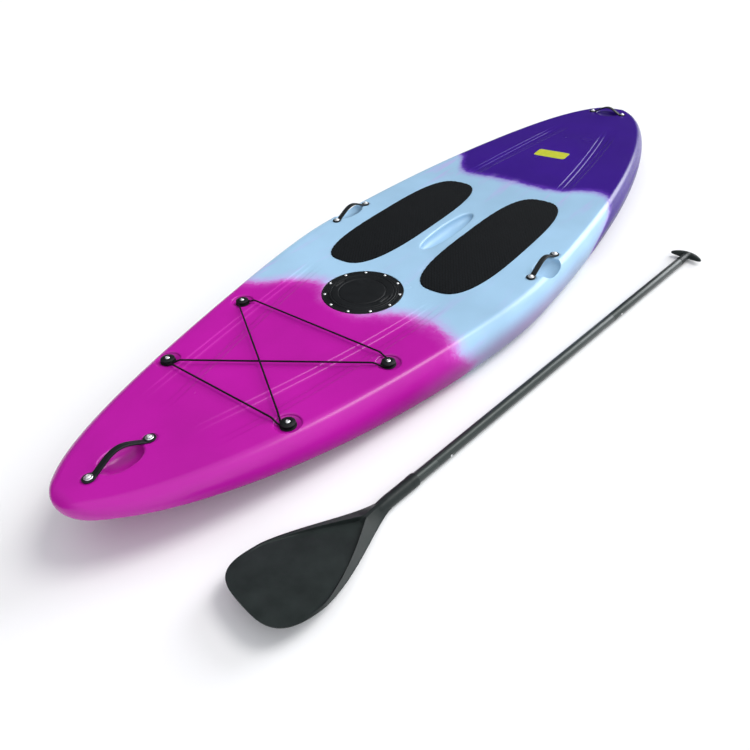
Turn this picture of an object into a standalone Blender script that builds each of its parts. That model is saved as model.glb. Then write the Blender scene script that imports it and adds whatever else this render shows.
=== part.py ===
"""Hybrid paddle board kayak with its three-piece paddle.

Metres, +Z up. +X points to the bow, +Y to port. The origin is on the floor,
under the middle of the flat of the hull, so the hull stands on z = 0.
"""
import math

import bmesh
import bpy
from mathutils import Matrix, Vector

# Hull
HULL_LENGTH = 3.200
HULL_BEAM = 0.909
DECK_HEIGHT = 0.150
WIDEST_STATION = 0.239
BOW_FULLNESS = (1.002, 0.494)
BOW_EASING = 0.150
STERN_FULLNESS = (1.840, 0.467)
WALL = 0.0040
RAIL_HEIGHT_SHARE = 0.52
UPPER_RAIL_RADIUS = 0.041
LOWER_RAIL_RADIUS = 0.056
BOW_DECK_RISE = 0.027
STERN_DECK_RISE = 0.017
DECK_RISE_START = 0.700
BOW_KEEL_RISE = 0.132
BOW_KEEL_START = 0.500
STERN_KEEL_RISE = 0.066
STERN_KEEL_START = 0.700
KEEL_RISE_POWER = 2.2
CAVITY_END_GAP = 0.060

# Raised strips on the deck, two ahead of the foot pads and two behind them
STRIP_LINE_SHARE = {"bow": 0.630, "stern": 0.540}
STRIP_SHARE_CHANGE = 0.300
STRIP_WIDTH = {"bow": (0.066, 0.100), "stern": (0.055, 0.071)}
STRIP_WIDENING = 0.750
STRIP_HEIGHT = 0.0036
STRIP_EDGE = 0.007
STRIP_FADE = 0.100
BOW_STRIP = (0.540, 1.300)
STERN_STRIP = (-1.230, -0.430)

# Clearance that touching pieces keep
GAP = 0.0003

# How far the cutters of holes and recesses reach down, and up into the open
HOLE_DEPTH = 0.0350
CUT_CLEARANCE = 0.0300

# Foot pads
PAD_CENTRE_X = 0.065
PAD_CENTRE_Y = 0.182
PAD_LENGTH = 0.790
PAD_WIDTH = 0.230
PAD_THICKNESS = 0.0055
PAD_BED_DEPTH = 0.0030
PAD_ROUNDNESS = 3.0

# Grip well between the pads
WELL_CENTRE_X = 0.078
WELL_LENGTH = 0.340
WELL_WIDTH = 0.074
WELL_DEPTH = 0.036

# Round hatch
HATCH_X = 0.578
HATCH_RADIUS = 0.127
HATCH_FLANGE = 0.0060
HATCH_SCREW_CIRCLE = 0.1165
HATCH_SCREWS = 11
HATCH_SCREW_START = 16.0
LID_RADIUS = 0.1055
LID_THICKNESS = 0.0070
LID_SKIRT_DEPTH = 0.0150
LID_SKIRT_WALL = 0.0035
NECK_WALL = 0.0040
NECK_DEPTH = 0.0240
GASKET_THICKNESS = 0.0015
SEAL_THICKNESS = 0.0022

# Deck buttons that hold the bungee
BUTTON_SPOTS = ((1.146, 0.2195), (0.823, 0.2745))
BUTTON_RADIUS = 0.0210
BUTTON_NECK_RADIUS = 0.0115
BUTTON_FLANGE = 0.0035
BUTTON_CAP = 0.0050
DISH_RADIUS = 0.0345
DISH_FLOOR_RADIUS = 0.0225
DISH_DEPTH = 0.0085

# Bungee
BUNGEE_DIAMETER = 0.0050
BUNGEE_PLAY = 0.0005
BUNGEE_RUN_HEIGHT = 0.0090
BUNGEE_CROSSING_RISE = 0.0062
BUNGEE_RISE_LENGTH = 0.026

# Carry handles. Each place is the middle's x and y and half the distance between the screws
HANDLE_WIDTH = 0.0170
HANDLE_THICKNESS = 0.0060
HANDLE_TAB_RADIUS = 0.0150
HANDLE_TAB_THICKNESS = 0.0045
HANDLE_ARCH = 0.0260
TAB_BED_DEPTH = 0.0015
TAB_BED_MARGIN = 0.0040
BOW_HANDLE = (1.443, 0.0, 0.0765)
SIDE_HANDLE = (0.138, 0.392, 0.0890)
STERN_HANDLE = (-1.490, 0.0, 0.0760)
SCOOP_DEPTH = 0.0300
SCOOP_WIDTH = 0.0820
SCOOP_END_GAP = 0.0220

# Screws and washers
SCREW_SHANK_RADIUS = 0.0021
SCREW_HEAD_RADIUS = 0.0048
SCREW_HEAD_HEIGHT = 0.0024
SCREW_LENGTH = 0.0150
BOLT_SHANK_RADIUS = 0.0028
BOLT_HEAD_RADIUS = 0.0068
BOLT_HEAD_HEIGHT = 0.0038
BOLT_LENGTH = 0.0200
WASHER_RADIUS = 0.0100
WASHER_THICKNESS = 0.0018

# Drain plug in the tail
DRAIN_HEIGHT = 0.1150
DRAIN_SETBACK = 0.0300
DRAIN_SLOT_SHARES = (0.42, 0.80)
DRAIN_BED_RADIUS = 0.0230
DRAIN_HEAD_RADIUS = 0.0170
DRAIN_HEAD_HEIGHT = 0.0080
DRAIN_SHANK_RADIUS = 0.0090
DRAIN_SHANK_LENGTH = 0.0160
DRAIN_SEAL_THICKNESS = 0.0020
DRAIN_GRIP_WIDTH = 0.0060
DRAIN_CLEARANCE = 0.0800

# Paddle, measured along its own axis from the tip of the blade
PADDLE_TIP = (1.5013, 0.4149)
PADDLE_HEADING = 171.36
PADDLE_LENGTH = 1.986
BLADE_LENGTH = 0.391
BLADE_WIDTH = 0.212
BLADE_THICKNESS = 0.0060
BLADE_BEND = 8.0
BLADE_TIP_SHARE = 0.280
BLADE_TAPER_POWERS = (1.55, 1.40)
BLADE_RIM = 0.0030
BLADE_ARM_WALL = 0.0020
BLADE_PANEL_SHARES = (0.194, 0.831)
SOCKET_RADIUS = 0.0168
SOCKET_END = 0.491
SOCKET_NOSE_LENGTH = 0.045
TUBE_RADIUS = 0.0145
TUBE_WALL = 0.0018
LOWER_JOINT = 0.561
UPPER_SECTION_LENGTH = 0.575
STUB_START = 0.411
SPIGOT_WALL = 0.0020
SPIGOT_HALF_LENGTH = 0.085
BUTTON_FROM_JOINT = 0.045
SPRING_PIN_RADIUS = 0.0030
SPRING_PIN_PROUD = 0.0016
SPRING_PIN_LENGTH = 0.0085
GRIP_LENGTH = 0.090
GRIP_PLUG_LENGTH = 0.040
GRIP_BAR_LENGTH = 0.112
GRIP_BAR_RADIUS = 0.0145
GRIP_BAR_DROOP = 0.0140

# Facet counts
SECTION_STATIONS = 35
CAVITY_STATIONS = 17
HATCH_SIDES = 36


def clear_scene():
    for old in list(bpy.data.objects):
        bpy.data.objects.remove(old, do_unlink=True)


def material(name, colour, roughness, metallic=0.0):
    mat = bpy.data.materials.new(name)
    mat.use_nodes = True
    shader = mat.node_tree.nodes["Principled BSDF"]
    shader.inputs["Base Color"].default_value = (*colour, 1.0)
    shader.inputs["Roughness"].default_value = roughness
    shader.inputs["Metallic"].default_value = metallic
    return mat


def add_mesh(name, verts, faces, mat=None, smooth=40.0):
    """A mesh object with its faces turned outwards."""
    mesh = bpy.data.meshes.new(name)
    mesh.from_pydata([tuple(v) for v in verts], [], [tuple(f) for f in faces])
    work = bmesh.new()
    work.from_mesh(mesh)
    bmesh.ops.remove_doubles(work, verts=work.verts, dist=1e-6)
    bmesh.ops.recalc_face_normals(work, faces=work.faces)
    work.to_mesh(mesh)
    work.free()
    obj = bpy.data.objects.new(name, mesh)
    bpy.context.scene.collection.objects.link(obj)
    if mat:
        mesh.materials.append(mat)
        mesh.shade_smooth()
        mesh.set_sharp_from_angle(angle=math.radians(smooth))
    return obj


def hide_as_cutter(obj):
    obj.hide_render = True
    obj.display_type = 'WIRE'
    return obj


def cut(obj, cutter):
    mod = obj.modifiers.new("cut " + cutter.name, 'BOOLEAN')
    mod.operation = 'DIFFERENCE'
    mod.solver = 'EXACT'
    mod.object = hide_as_cutter(cutter)


def lathe(name, profile, sides, mat=None, place=None, closed=False):
    """A profile of (radius, height) points turned round Z.

    Points on the axis become poles. A closed profile makes a ring.
    """
    verts = []
    rows = []
    for radius, height in profile:
        if radius < 1e-7:
            rows.append([len(verts)])
            verts.append(Vector((0.0, 0.0, height)))
            continue
        row = []
        for k in range(sides):
            turn = 2.0 * math.pi * k / sides
            row.append(len(verts))
            verts.append(Vector((radius * math.cos(turn), radius * math.sin(turn), height)))
        rows.append(row)
    faces = []
    pairs = list(zip(rows[:-1], rows[1:]))
    if closed:
        pairs.append((rows[-1], rows[0]))
    for low, high in pairs:
        for k in range(sides):
            n = (k + 1) % sides
            if len(low) == 1:
                faces.append((low[0], high[k], high[n]))
            elif len(high) == 1:
                faces.append((low[k], low[n], high[0]))
            else:
                faces.append((low[k], low[n], high[n], high[k]))
    if place:
        verts = [place @ v for v in verts]
    return add_mesh(name, verts, faces, mat)


def loft(name, rings, mat=None, start=None, end=None):
    """Rings of equal point count joined in order, closed by a pole or a flat cap."""
    count = len(rings[0])
    verts = [Vector(p) for ring in rings for p in ring]
    faces = []
    for r in range(len(rings) - 1):
        for k in range(count):
            n = (k + 1) % count
            faces.append((r * count + k, r * count + n, (r + 1) * count + n, (r + 1) * count + k))
    last = (len(rings) - 1) * count
    if start is None:
        faces.append(tuple(range(count)))
    else:
        verts.append(Vector(start))
        faces += [(len(verts) - 1, k, (k + 1) % count) for k in range(count)]
    if end is None:
        faces.append(tuple(range(last, last + count)))
    else:
        verts.append(Vector(end))
        faces += [(len(verts) - 1, last + k, last + (k + 1) % count) for k in range(count)]
    return add_mesh(name, verts, faces, mat)


def at(x, y, z):
    return Matrix.Translation((x, y, z))


def half_beam(x):
    """Half the hull's width at station x: two superellipse quarters that meet at the widest.

    The bow's share is eased near the widest station, so that the outline has no corner there.
    """
    half = HULL_LENGTH / 2.0
    if x > WIDEST_STATION:
        share = min((x - WIDEST_STATION) / (half - WIDEST_STATION), 1.0)
        full = math.hypot(1.0, BOW_EASING) - BOW_EASING
        share = (math.hypot(share, BOW_EASING) - BOW_EASING) / full
        power, root = BOW_FULLNESS
    else:
        share = min((WIDEST_STATION - x) / (half + WIDEST_STATION), 1.0)
        power, root = STERN_FULLNESS
    return HULL_BEAM / 2.0 * max(1.0 - share ** power, 0.0) ** root


def rise(x, start, height, power):
    span = HULL_LENGTH / 2.0 - start
    return height * min(max((x - start) / span, 0.0), 1.0) ** power


def deck_z(x):
    bow = rise(x, DECK_RISE_START, BOW_DECK_RISE, 2.0)
    stern = rise(-x, DECK_RISE_START, STERN_DECK_RISE, 2.0)
    return DECK_HEIGHT + bow + stern


def keel_z(x):
    bow = rise(x, BOW_KEEL_START, BOW_KEEL_RISE, KEEL_RISE_POWER)
    stern = rise(-x, STERN_KEEL_START, STERN_KEEL_RISE, KEEL_RISE_POWER)
    return bow + stern


def strip_lines(x):
    """Inner and outer line of the raised strips at station x, and the width of their sloped edges."""
    bow, stern = STRIP_LINE_SHARE["bow"], STRIP_LINE_SHARE["stern"]
    share = (bow + stern) / 2.0 + (bow - stern) / 2.0 * math.tanh(x / STRIP_SHARE_CHANGE)
    outer = share * half_beam(x)
    near, far = STRIP_WIDTH["bow" if x > 0.0 else "stern"]
    start = BOW_STRIP[0] if x > 0.0 else -STERN_STRIP[1]
    along = min(max((abs(x) - start) / STRIP_WIDENING, 0.0), 1.0)
    width = min(near + (far - near) * along, 0.65 * outer)
    return outer - width, outer, min(STRIP_EDGE, 0.2 * width)


def strip_height(x):
    """Height of the raised strips at station x, faded in and out at their ends."""
    height = 0.0
    for first, last in (BOW_STRIP, STERN_STRIP):
        inside = min(x - first, last - x) / STRIP_FADE
        height = max(height, STRIP_HEIGHT * min(max(inside, 0.0), 1.0))
    return height


def rail_arc(x, inset, steps):
    """Quarter arcs of the rail, from the deck edge down to the edge of the bottom."""
    half = half_beam(x) - inset
    top = deck_z(x) - inset
    low = keel_z(x) + inset
    middle = low + (top - low) * RAIL_HEIGHT_SHARE
    upper = min(UPPER_RAIL_RADIUS, 0.32 * half)
    lower = min(LOWER_RAIL_RADIUS, 0.50 * half)
    points = []
    for k in range(steps + 1):
        turn = math.pi / 2.0 * (1.0 - k / steps)
        points.append((half - upper + upper * math.cos(turn), middle + (top - middle) * math.sin(turn)))
    for k in range(1, steps + 1):
        turn = math.pi / 2.0 * k / steps
        points.append((half - lower + lower * math.cos(turn), middle - (middle - low) * math.sin(turn)))
    return points


def outer_section(x):
    """Closed section of the outside at station x, with the raised strip worked into it."""
    top = deck_z(x)
    inner, outer, edge = strip_lines(x)
    lift = strip_height(x)
    deck = [(inner, top), (inner + edge, top + lift)]
    deck += [(outer - edge, top + lift), (outer, top)]
    port = deck + rail_arc(x, 0.0, 3)
    ring = [(x, 0.0, top)] + [(x, y, z) for y, z in port]
    ring += [(x, 0.0, keel_z(x))] + [(x, -y, z) for y, z in reversed(port)]
    return ring


def cavity_section(x):
    port = rail_arc(x, WALL, 2)
    return [(x, y, z) for y, z in port] + [(x, -y, z) for y, z in reversed(port)]


def stations(count, reach):
    """Stations spaced as a cosine, so that they crowd towards the ends."""
    return [-reach * math.cos(math.pi * (k + 1) / (count + 1)) for k in range(count)]


def end_pole(x):
    middle = keel_z(x) + (deck_z(x) - keel_z(x)) * RAIL_HEIGHT_SHARE
    return (x, 0.0, middle)


def bowl_profile(top_radius, floor_radius, depth, grow):
    """Cutter for a round dish: flat floor, sloped side, and open above the deck."""
    slope = (top_radius - floor_radius) / depth
    return [(0.0, -depth - grow), (floor_radius + grow, -depth - grow),
            (top_radius + grow, 0.0), (top_radius + grow + slope * 0.001, 0.001),
            (top_radius + grow + slope * 0.001, CUT_CLEARANCE), (0.0, CUT_CLEARANCE)]


def superellipse(half_x, half_y, power, count):
    points = []
    for k in range(count):
        turn = 2.0 * math.pi * k / count
        c, s = math.cos(turn), math.sin(turn)
        points.append((math.copysign(half_x * abs(c) ** (2.0 / power), c),
                       math.copysign(half_y * abs(s) ** (2.0 / power), s)))
    return points


def prism(name, outline, low, high, mat=None):
    return loft(name, [[(x, y, low) for x, y in outline], [(x, y, high) for x, y in outline]], mat)


def scoop(name, half_x, half_y, depth, place, grow, rings=4, sides=18):
    """An oval scoop: half an ellipsoid below the deck, with straight sides above it."""
    levels = []
    for k in range(rings):
        turn = math.pi / 2.0 * (k + 1) / rings
        levels.append((math.sin(turn), -math.cos(turn)))
    stack = []
    for spread, sink in levels:
        ring = superellipse((half_x + grow) * spread, (half_y + grow) * spread, 2.2, sides)
        stack.append([place @ Vector((x, y, sink * (depth + grow))) for x, y in ring])
    top = superellipse(half_x + grow, half_y + grow, 2.2, sides)
    stack.append([place @ Vector((x, y, 2.0 * CUT_CLEARANCE)) for x, y in top])
    return loft(name, stack, start=place @ Vector((0.0, 0.0, -depth - grow)))


def join(name, pieces):
    """Joins separate cutters into one object, so that one Boolean takes them all."""
    work = bmesh.new()
    for piece in pieces:
        work.from_mesh(piece.data)
        bpy.data.objects.remove(piece, do_unlink=True)
    mesh = bpy.data.meshes.new(name)
    work.to_mesh(mesh)
    work.free()
    obj = bpy.data.objects.new(name, mesh)
    bpy.context.scene.collection.objects.link(obj)
    return hide_as_cutter(obj)


def handle_places():
    """Frame of each handle at its middle: local x runs along the handle."""
    x, y, half = BOW_HANDLE
    places = {"bow_handle": (at(x, y, deck_z(x)) @ pitch_at(x), half)}
    x, y, half = SIDE_HANDLE
    places["port_handle"] = (at(x, y, deck_z(x)), half)
    places["starboard_handle"] = (at(x, -y, deck_z(x)) @ Matrix.Rotation(math.pi, 4, 'Z'), half)
    x, y, half = STERN_HANDLE
    across = Matrix.Rotation(math.pi / 2.0, 4, 'Z')
    places["stern_handle"] = (at(x, y, deck_z(x)) @ pitch_at(x) @ across, half)
    return places


def pitch_at(x):
    """Turn about Y that lays a frame on the slope of the deck at station x."""
    step = 0.001
    slope = (deck_z(x + step) - deck_z(x - step)) / (2.0 * step)
    return Matrix.Rotation(-math.atan(slope), 4, 'Y')


def button_places():
    places = {}
    for label, (x, y) in zip(("front", "rear"), BUTTON_SPOTS):
        places["port_" + label] = at(x, y, deck_z(x)) @ pitch_at(x)
        places["starboard_" + label] = at(x, -y, deck_z(x)) @ pitch_at(x)
    return places


def hatch_screw_places():
    seat = deck_z(HATCH_X) + GAP
    places = []
    for k in range(HATCH_SCREWS):
        turn = math.radians(HATCH_SCREW_START + 360.0 * k / HATCH_SCREWS)
        x = HATCH_X + HATCH_SCREW_CIRCLE * math.cos(turn)
        y = HATCH_SCREW_CIRCLE * math.sin(turn)
        places.append(at(x, y, seat))
    return places


def drill(name, radius, place, depth, height=CUT_CLEARANCE, sides=20):
    profile = [(0.0, -depth), (radius, -depth), (radius, height), (0.0, height)]
    return lathe(name, profile, sides, place=place)


def screw_hole(name, shank, place, depth=HOLE_DEPTH, height=CUT_CLEARANCE):
    """Six-sided clearance hole whose flats stay a gap away from the shank."""
    radius = (shank + GAP) / math.cos(math.pi / 6.0)
    return drill(name, radius, place, depth, height, sides=6)


def scoop_frame(name, place):
    """Scoops of the side handles sit outboard of the strap, the others lie under it."""
    outboard = {"port_handle": 0.016, "starboard_handle": -0.016}.get(name, 0.0)
    flip = -1.0 if name == "starboard_handle" else 1.0
    return place @ at(0.0, outboard * flip, 0.0)


def tab_bed(name, place, half):
    """Shallow round bed under a handle's two end tabs."""
    beds = []
    for side in (-1.0, 1.0):
        spot = place @ at(side * half, 0.0, 0.0)
        radius = HANDLE_TAB_RADIUS + TAB_BED_MARGIN
        beds.append(drill("tab bed " + name, radius, spot, TAB_BED_DEPTH, sides=16))
    return beds


def hull_recesses(grow):
    """Every recess moulded in the hull. Grown by the wall, it shapes the cavity instead."""
    pieces = []
    inner = grow > 0.0
    for name, place in button_places().items():
        dish = bowl_profile(DISH_RADIUS, DISH_FLOOR_RADIUS, DISH_DEPTH, grow)
        pieces.append(lathe("dish " + name, dish, 12 if inner else 20, place=place))
    for name, (place, half) in handle_places().items():
        length = half - SCOOP_END_GAP
        spot = scoop_frame(name, place)
        rings, sides = (2, 12) if inner else (4, 18)
        pieces.append(scoop("scoop " + name, length, SCOOP_WIDTH / 2.0, SCOOP_DEPTH, spot, grow, rings, sides))
        if not inner:
            pieces += tab_bed(name, place, half)
    well = at(WELL_CENTRE_X, 0.0, DECK_HEIGHT)
    rings, sides = (2, 12) if inner else (4, 22)
    pieces.append(scoop("well", WELL_LENGTH / 2.0, WELL_WIDTH / 2.0, WELL_DEPTH, well, grow, rings, sides))
    for side in (-1.0, 1.0):
        count = 16 if inner else 36
        half_x = PAD_LENGTH / 2.0 + GAP + grow
        half_y = PAD_WIDTH / 2.0 + GAP + grow
        outline = superellipse(half_x, half_y, PAD_ROUNDNESS, count)
        outline = [(x + PAD_CENTRE_X, y + side * PAD_CENTRE_Y) for x, y in outline]
        pieces.append(prism("pad bed", outline, DECK_HEIGHT - PAD_BED_DEPTH - grow,
                            DECK_HEIGHT + CUT_CLEARANCE))
    hatch = at(HATCH_X, 0.0, DECK_HEIGHT)
    depth = HATCH_FLANGE + GASKET_THICKNESS + GAP + grow
    radius = HATCH_RADIUS + GAP + grow
    pieces.append(drill("hatch bed", radius, hatch, depth, sides=20 if inner else HATCH_SIDES))
    return pieces


def drain_place():
    """Frame of the drain plug: local z points aft, out of the tail."""
    return at(DRAIN_SETBACK - HULL_LENGTH / 2.0, 0.0, DRAIN_HEIGHT) @ Matrix.Rotation(-math.pi / 2.0, 4, 'Y')


def build_hull(mat):
    half = HULL_LENGTH / 2.0
    rings = [outer_section(x) for x in stations(SECTION_STATIONS, half)]
    hull = loft("hull", rings, mat, start=end_pole(-half), end=end_pole(half))
    reach = half - CAVITY_END_GAP
    rings = [cavity_section(x) for x in stations(CAVITY_STATIONS, reach)]
    cavity = loft("cavity", rings, start=end_pole(-reach), end=end_pole(reach))
    grown = hull_recesses(WALL)
    grown.append(drill("drain bed grown", DRAIN_BED_RADIUS + WALL, drain_place(), WALL, DRAIN_CLEARANCE,
                       sides=12))
    for piece in grown:
        cut(cavity, piece)
    for piece in hull_recesses(0.0):
        cut(hull, piece)
    cut(hull, drill("drain bed", DRAIN_BED_RADIUS, drain_place(), 0.0, DRAIN_CLEARANCE))
    cut(hull, cavity)
    neck = LID_RADIUS - LID_SKIRT_WALL + NECK_WALL + 2.0 * GAP
    holes = [drill("hatch hole", neck + GAP, at(HATCH_X, 0.0, DECK_HEIGHT), HOLE_DEPTH,
                   sides=HATCH_SIDES)]
    shank = DRAIN_SHANK_RADIUS + GAP
    holes.append(drill("drain hole", shank, drain_place(), HOLE_DEPTH))
    for place in hatch_screw_places():
        holes.append(screw_hole("hatch screw hole", SCREW_SHANK_RADIUS, place))
    for place in button_places().values():
        holes.append(screw_hole("button bolt hole", BOLT_SHANK_RADIUS, place))
    for place, span in handle_places().values():
        for side in (-1.0, 1.0):
            spot = place @ at(side * span, 0.0, 0.0)
            holes.append(screw_hole("handle bolt hole", BOLT_SHANK_RADIUS, spot))
    cut(hull, join("through holes", holes))
    return hull


def build_pads(mat):
    for name, side in (("port_foot_pad", 1.0), ("starboard_foot_pad", -1.0)):
        low = DECK_HEIGHT - PAD_BED_DEPTH + GAP
        rings = []
        for inset, rise_share in ((0.0, 0.0), (0.0, 0.70), (0.0015, 1.0)):
            outline = superellipse(PAD_LENGTH / 2.0 - inset, PAD_WIDTH / 2.0 - inset, PAD_ROUNDNESS, 36)
            height = low + PAD_THICKNESS * rise_share
            rings.append([(x + PAD_CENTRE_X, y + side * PAD_CENTRE_Y, height) for x, y in outline])
        loft(name, rings, mat)


def screw(name, place, shank, head, height, length, mat, sides=8):
    """Pan head on z = 0 of its frame, shank below it."""
    profile = [(0.0, -length), (shank, -length), (shank, 0.0), (head, 0.0), (0.80 * head, 0.70 * height),
               (0.0, height)]
    return lathe(name, profile, sides, mat, place=place)


def build_hatch(mats):
    """Screwed ring on a gasket, with a quarter-turn lid on a flat seal."""
    base = DECK_HEIGHT - HATCH_FLANGE - GASKET_THICKNESS
    place = at(HATCH_X, 0.0, base)
    neck_out = LID_RADIUS - LID_SKIRT_WALL + NECK_WALL + 2.0 * GAP
    neck_in = neck_out - NECK_WALL
    inner = neck_out + 0.0006
    gasket = lathe("hatch_gasket", [(inner, 0.0), (HATCH_RADIUS, 0.0), (HATCH_RADIUS, GASKET_THICKNESS - GAP),
                                    (inner, GASKET_THICKNESS - GAP)], HATCH_SIDES, mats["rubber"], place=place, closed=True)
    low = GASKET_THICKNESS
    top = low + HATCH_FLANGE
    shelf = top - LID_THICKNESS + 0.0010
    profile = [(neck_in, low - NECK_DEPTH), (neck_out, low - NECK_DEPTH), (neck_out, low), (HATCH_RADIUS, low),
               (HATCH_RADIUS, top - 0.0015), (HATCH_RADIUS - 0.0020, top),
               (LID_RADIUS + GAP, top), (LID_RADIUS + GAP, shelf - SEAL_THICKNESS - GAP),
               (neck_in, shelf - SEAL_THICKNESS - GAP)]
    ring = lathe("hatch_ring", profile, HATCH_SIDES, mats["black"], place=place, closed=True)
    seal_low = shelf - SEAL_THICKNESS
    seal_in = neck_in + GAP
    lathe("hatch_lid_seal", [(seal_in, seal_low), (LID_RADIUS - GAP, seal_low), (LID_RADIUS - GAP, shelf - GAP),
                             (seal_in, shelf - GAP)], HATCH_SIDES, mats["rubber"], place=place, closed=True)
    lid_top = shelf + LID_THICKNESS
    skirt = neck_in - 0.0010
    profile = [(0.0, shelf), (skirt - LID_SKIRT_WALL, shelf), (skirt - LID_SKIRT_WALL, shelf - LID_SKIRT_DEPTH),
               (skirt, shelf - LID_SKIRT_DEPTH), (skirt, shelf), (LID_RADIUS - GAP, shelf),
               (LID_RADIUS - GAP, lid_top - 0.0012), (LID_RADIUS - 0.0020, lid_top),
               (0.0750, lid_top), (0.0738, lid_top - 0.0012), (0.0710, lid_top - 0.0012), (0.0698, lid_top),
               (0.0, lid_top)]
    lid = lathe("hatch_lid", profile, HATCH_SIDES, mats["black"], place=place)
    grips = []
    for side in (-1.0, 1.0):
        spot = at(HATCH_X, side * 0.0840, base + lid_top)
        grips.append(scoop("finger well", 0.0230, 0.0065, 0.0040, spot, 0.0, rings=3, sides=12))
    cut(lid, join("finger wells", grips))
    for piece in (ring, gasket):
        drills = [screw_hole("hole", SCREW_SHANK_RADIUS, spot) for spot in hatch_screw_places()]
        cut(piece, join(piece.name + " holes", drills))
    for k, spot in enumerate(hatch_screw_places()):
        screw("hatch_screw_%02d" % (k + 1), spot, SCREW_SHANK_RADIUS, SCREW_HEAD_RADIUS,
              SCREW_HEAD_HEIGHT, SCREW_LENGTH, mats["steel"])


def button_neck_height():
    """Height of the bungee's middle at a button, above the deck."""
    return -DISH_DEPTH + GAP + BUTTON_FLANGE + BUNGEE_PLAY + BUNGEE_DIAMETER / 2.0


def build_buttons(mats):
    for name, place in button_places().items():
        low = -DISH_DEPTH + GAP
        neck_low = low + BUTTON_FLANGE
        neck_high = neck_low + BUNGEE_DIAMETER + 2.0 * BUNGEE_PLAY
        cap = neck_high + BUTTON_CAP
        seat = cap - 0.0025
        profile = [(0.0, low), (BUTTON_RADIUS, low), (BUTTON_RADIUS, neck_low - 0.0012),
                   (BUTTON_NECK_RADIUS, neck_low), (BUTTON_NECK_RADIUS, neck_high),
                   (BUTTON_RADIUS * 0.90, neck_high), (BUTTON_RADIUS * 0.86, neck_high + 0.0022),
                   (BUTTON_RADIUS * 0.50, cap), (BOLT_HEAD_RADIUS + 0.0006, cap),
                   (BOLT_HEAD_RADIUS + 0.0006, seat), (0.0, seat)]
        button = lathe("deck_button_" + name, profile, 16, mats["black"], place=place)
        cut(button, screw_hole("bolt hole " + name, BOLT_SHANK_RADIUS, place))
        spot = place @ at(0.0, 0.0, seat + GAP)
        screw("button_screw_" + name, spot, BOLT_SHANK_RADIUS, BOLT_HEAD_RADIUS, BOLT_HEAD_HEIGHT,
              BOLT_LENGTH, mats["steel"])


def bungee_route():
    """One closed loop: it turns round the four buttons and crosses once between them."""
    front, rear = BUTTON_SPOTS
    spots = [Vector((front[0], front[1])), Vector((front[0], -front[1])),
             Vector((rear[0], rear[1])), Vector((rear[0], -rear[1]))]
    wrap = BUTTON_NECK_RADIUS + BUNGEE_PLAY + BUNGEE_DIAMETER / 2.0
    middle = sum(spots, Vector((0.0, 0.0))) / 4.0
    points = []
    for k in range(4):
        here = spots[k]
        before = spots[k - 1]
        after = spots[(k + 1) % 4]
        turn_from, turn_to = wrap_angles(here, before, after, wrap, middle)
        steps = 6
        for j in range(steps + 1):
            turn = turn_from + (turn_to - turn_from) * j / steps
            spot = here + wrap * Vector((math.cos(turn), math.sin(turn)))
            points.append((spot.x, spot.y, deck_z(spot.x) + button_neck_height()))
        points += run_points(here, after, k == 3, wrap, middle)
    return points


def wrap_angles(here, before, after, wrap, middle):
    """Angles of the arc round a button, on the side away from the loop's middle."""
    out = (here - middle).normalized()
    first = side_normal(before - here, out)
    last = side_normal(after - here, out)
    start = math.atan2(first.y, first.x)
    end = math.atan2(last.y, last.x)
    away = math.atan2(out.y, out.x)
    start = away + wrap_turn(start - away)
    end = away + wrap_turn(end - away)
    return start, end


def wrap_turn(angle):
    return (angle + math.pi) % (2.0 * math.pi) - math.pi


def side_normal(way, out):
    way = way.normalized()
    normal = Vector((-way.y, way.x))
    if normal.dot(out) < 0.0:
        normal = -normal
    return normal


def run_points(here, after, over, wrap, middle):
    """Points of a run between two buttons, lifted clear of the caps, dishes and strips."""
    start = here + wrap * side_normal(after - here, (here - middle).normalized())
    end = after + wrap * side_normal(here - after, (after - middle).normalized())
    length = (end - start).length
    level = BUTTON_RADIUS * 0.75
    ends = [level, level + 0.35 * BUNGEE_RISE_LENGTH, level + 0.7 * BUNGEE_RISE_LENGTH,
            level + BUNGEE_RISE_LENGTH]
    inner = 6
    span = length - 2.0 * ends[-1]
    along = ends + [ends[-1] + span * j / inner for j in range(1, inner)]
    along += [length - d for d in reversed(ends)]
    neck = button_neck_height()
    points = []
    for distance in along:
        share = distance / length
        spot = start.lerp(end, share)
        risen = (min(distance, length - distance) - level) / BUNGEE_RISE_LENGTH
        risen = min(max(risen, 0.0), 1.0)
        blend = risen * risen * (3.0 - 2.0 * risen)
        lift = neck + (BUNGEE_RUN_HEIGHT - neck) * blend
        if over:
            lift += BUNGEE_CROSSING_RISE * math.sin(math.pi * share) ** 2
        chord = deck_z(start.x) + (deck_z(end.x) - deck_z(start.x)) * share
        base = deck_z(spot.x) + (chord - deck_z(spot.x)) * blend
        points.append((spot.x, spot.y, base + lift))
    return points


def build_bungee(mat):
    curve = bpy.data.curves.new("deck_bungee", 'CURVE')
    curve.dimensions = '3D'
    curve.bevel_depth = BUNGEE_DIAMETER / 2.0
    curve.bevel_resolution = 2
    route = bungee_route()
    spline = curve.splines.new('POLY')
    spline.points.add(len(route) - 1)
    for point, spot in zip(spline.points, route):
        point.co = (*spot, 1.0)
    spline.use_cyclic_u = True
    obj = bpy.data.objects.new("deck_bungee", curve)
    bpy.context.scene.collection.objects.link(obj)
    curve.materials.append(mat)


def handle_section(width, thickness):
    """Eight-sided section with eased edges, as (across, up) pairs."""
    half = width / 2.0
    ease = min(0.3 * thickness, 0.0015)
    return [(-half, ease), (-half + ease, 0.0), (half - ease, 0.0), (half, ease),
            (half, thickness - ease), (half - ease, thickness), (-half + ease, thickness),
            (-half, thickness - ease)]


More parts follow.
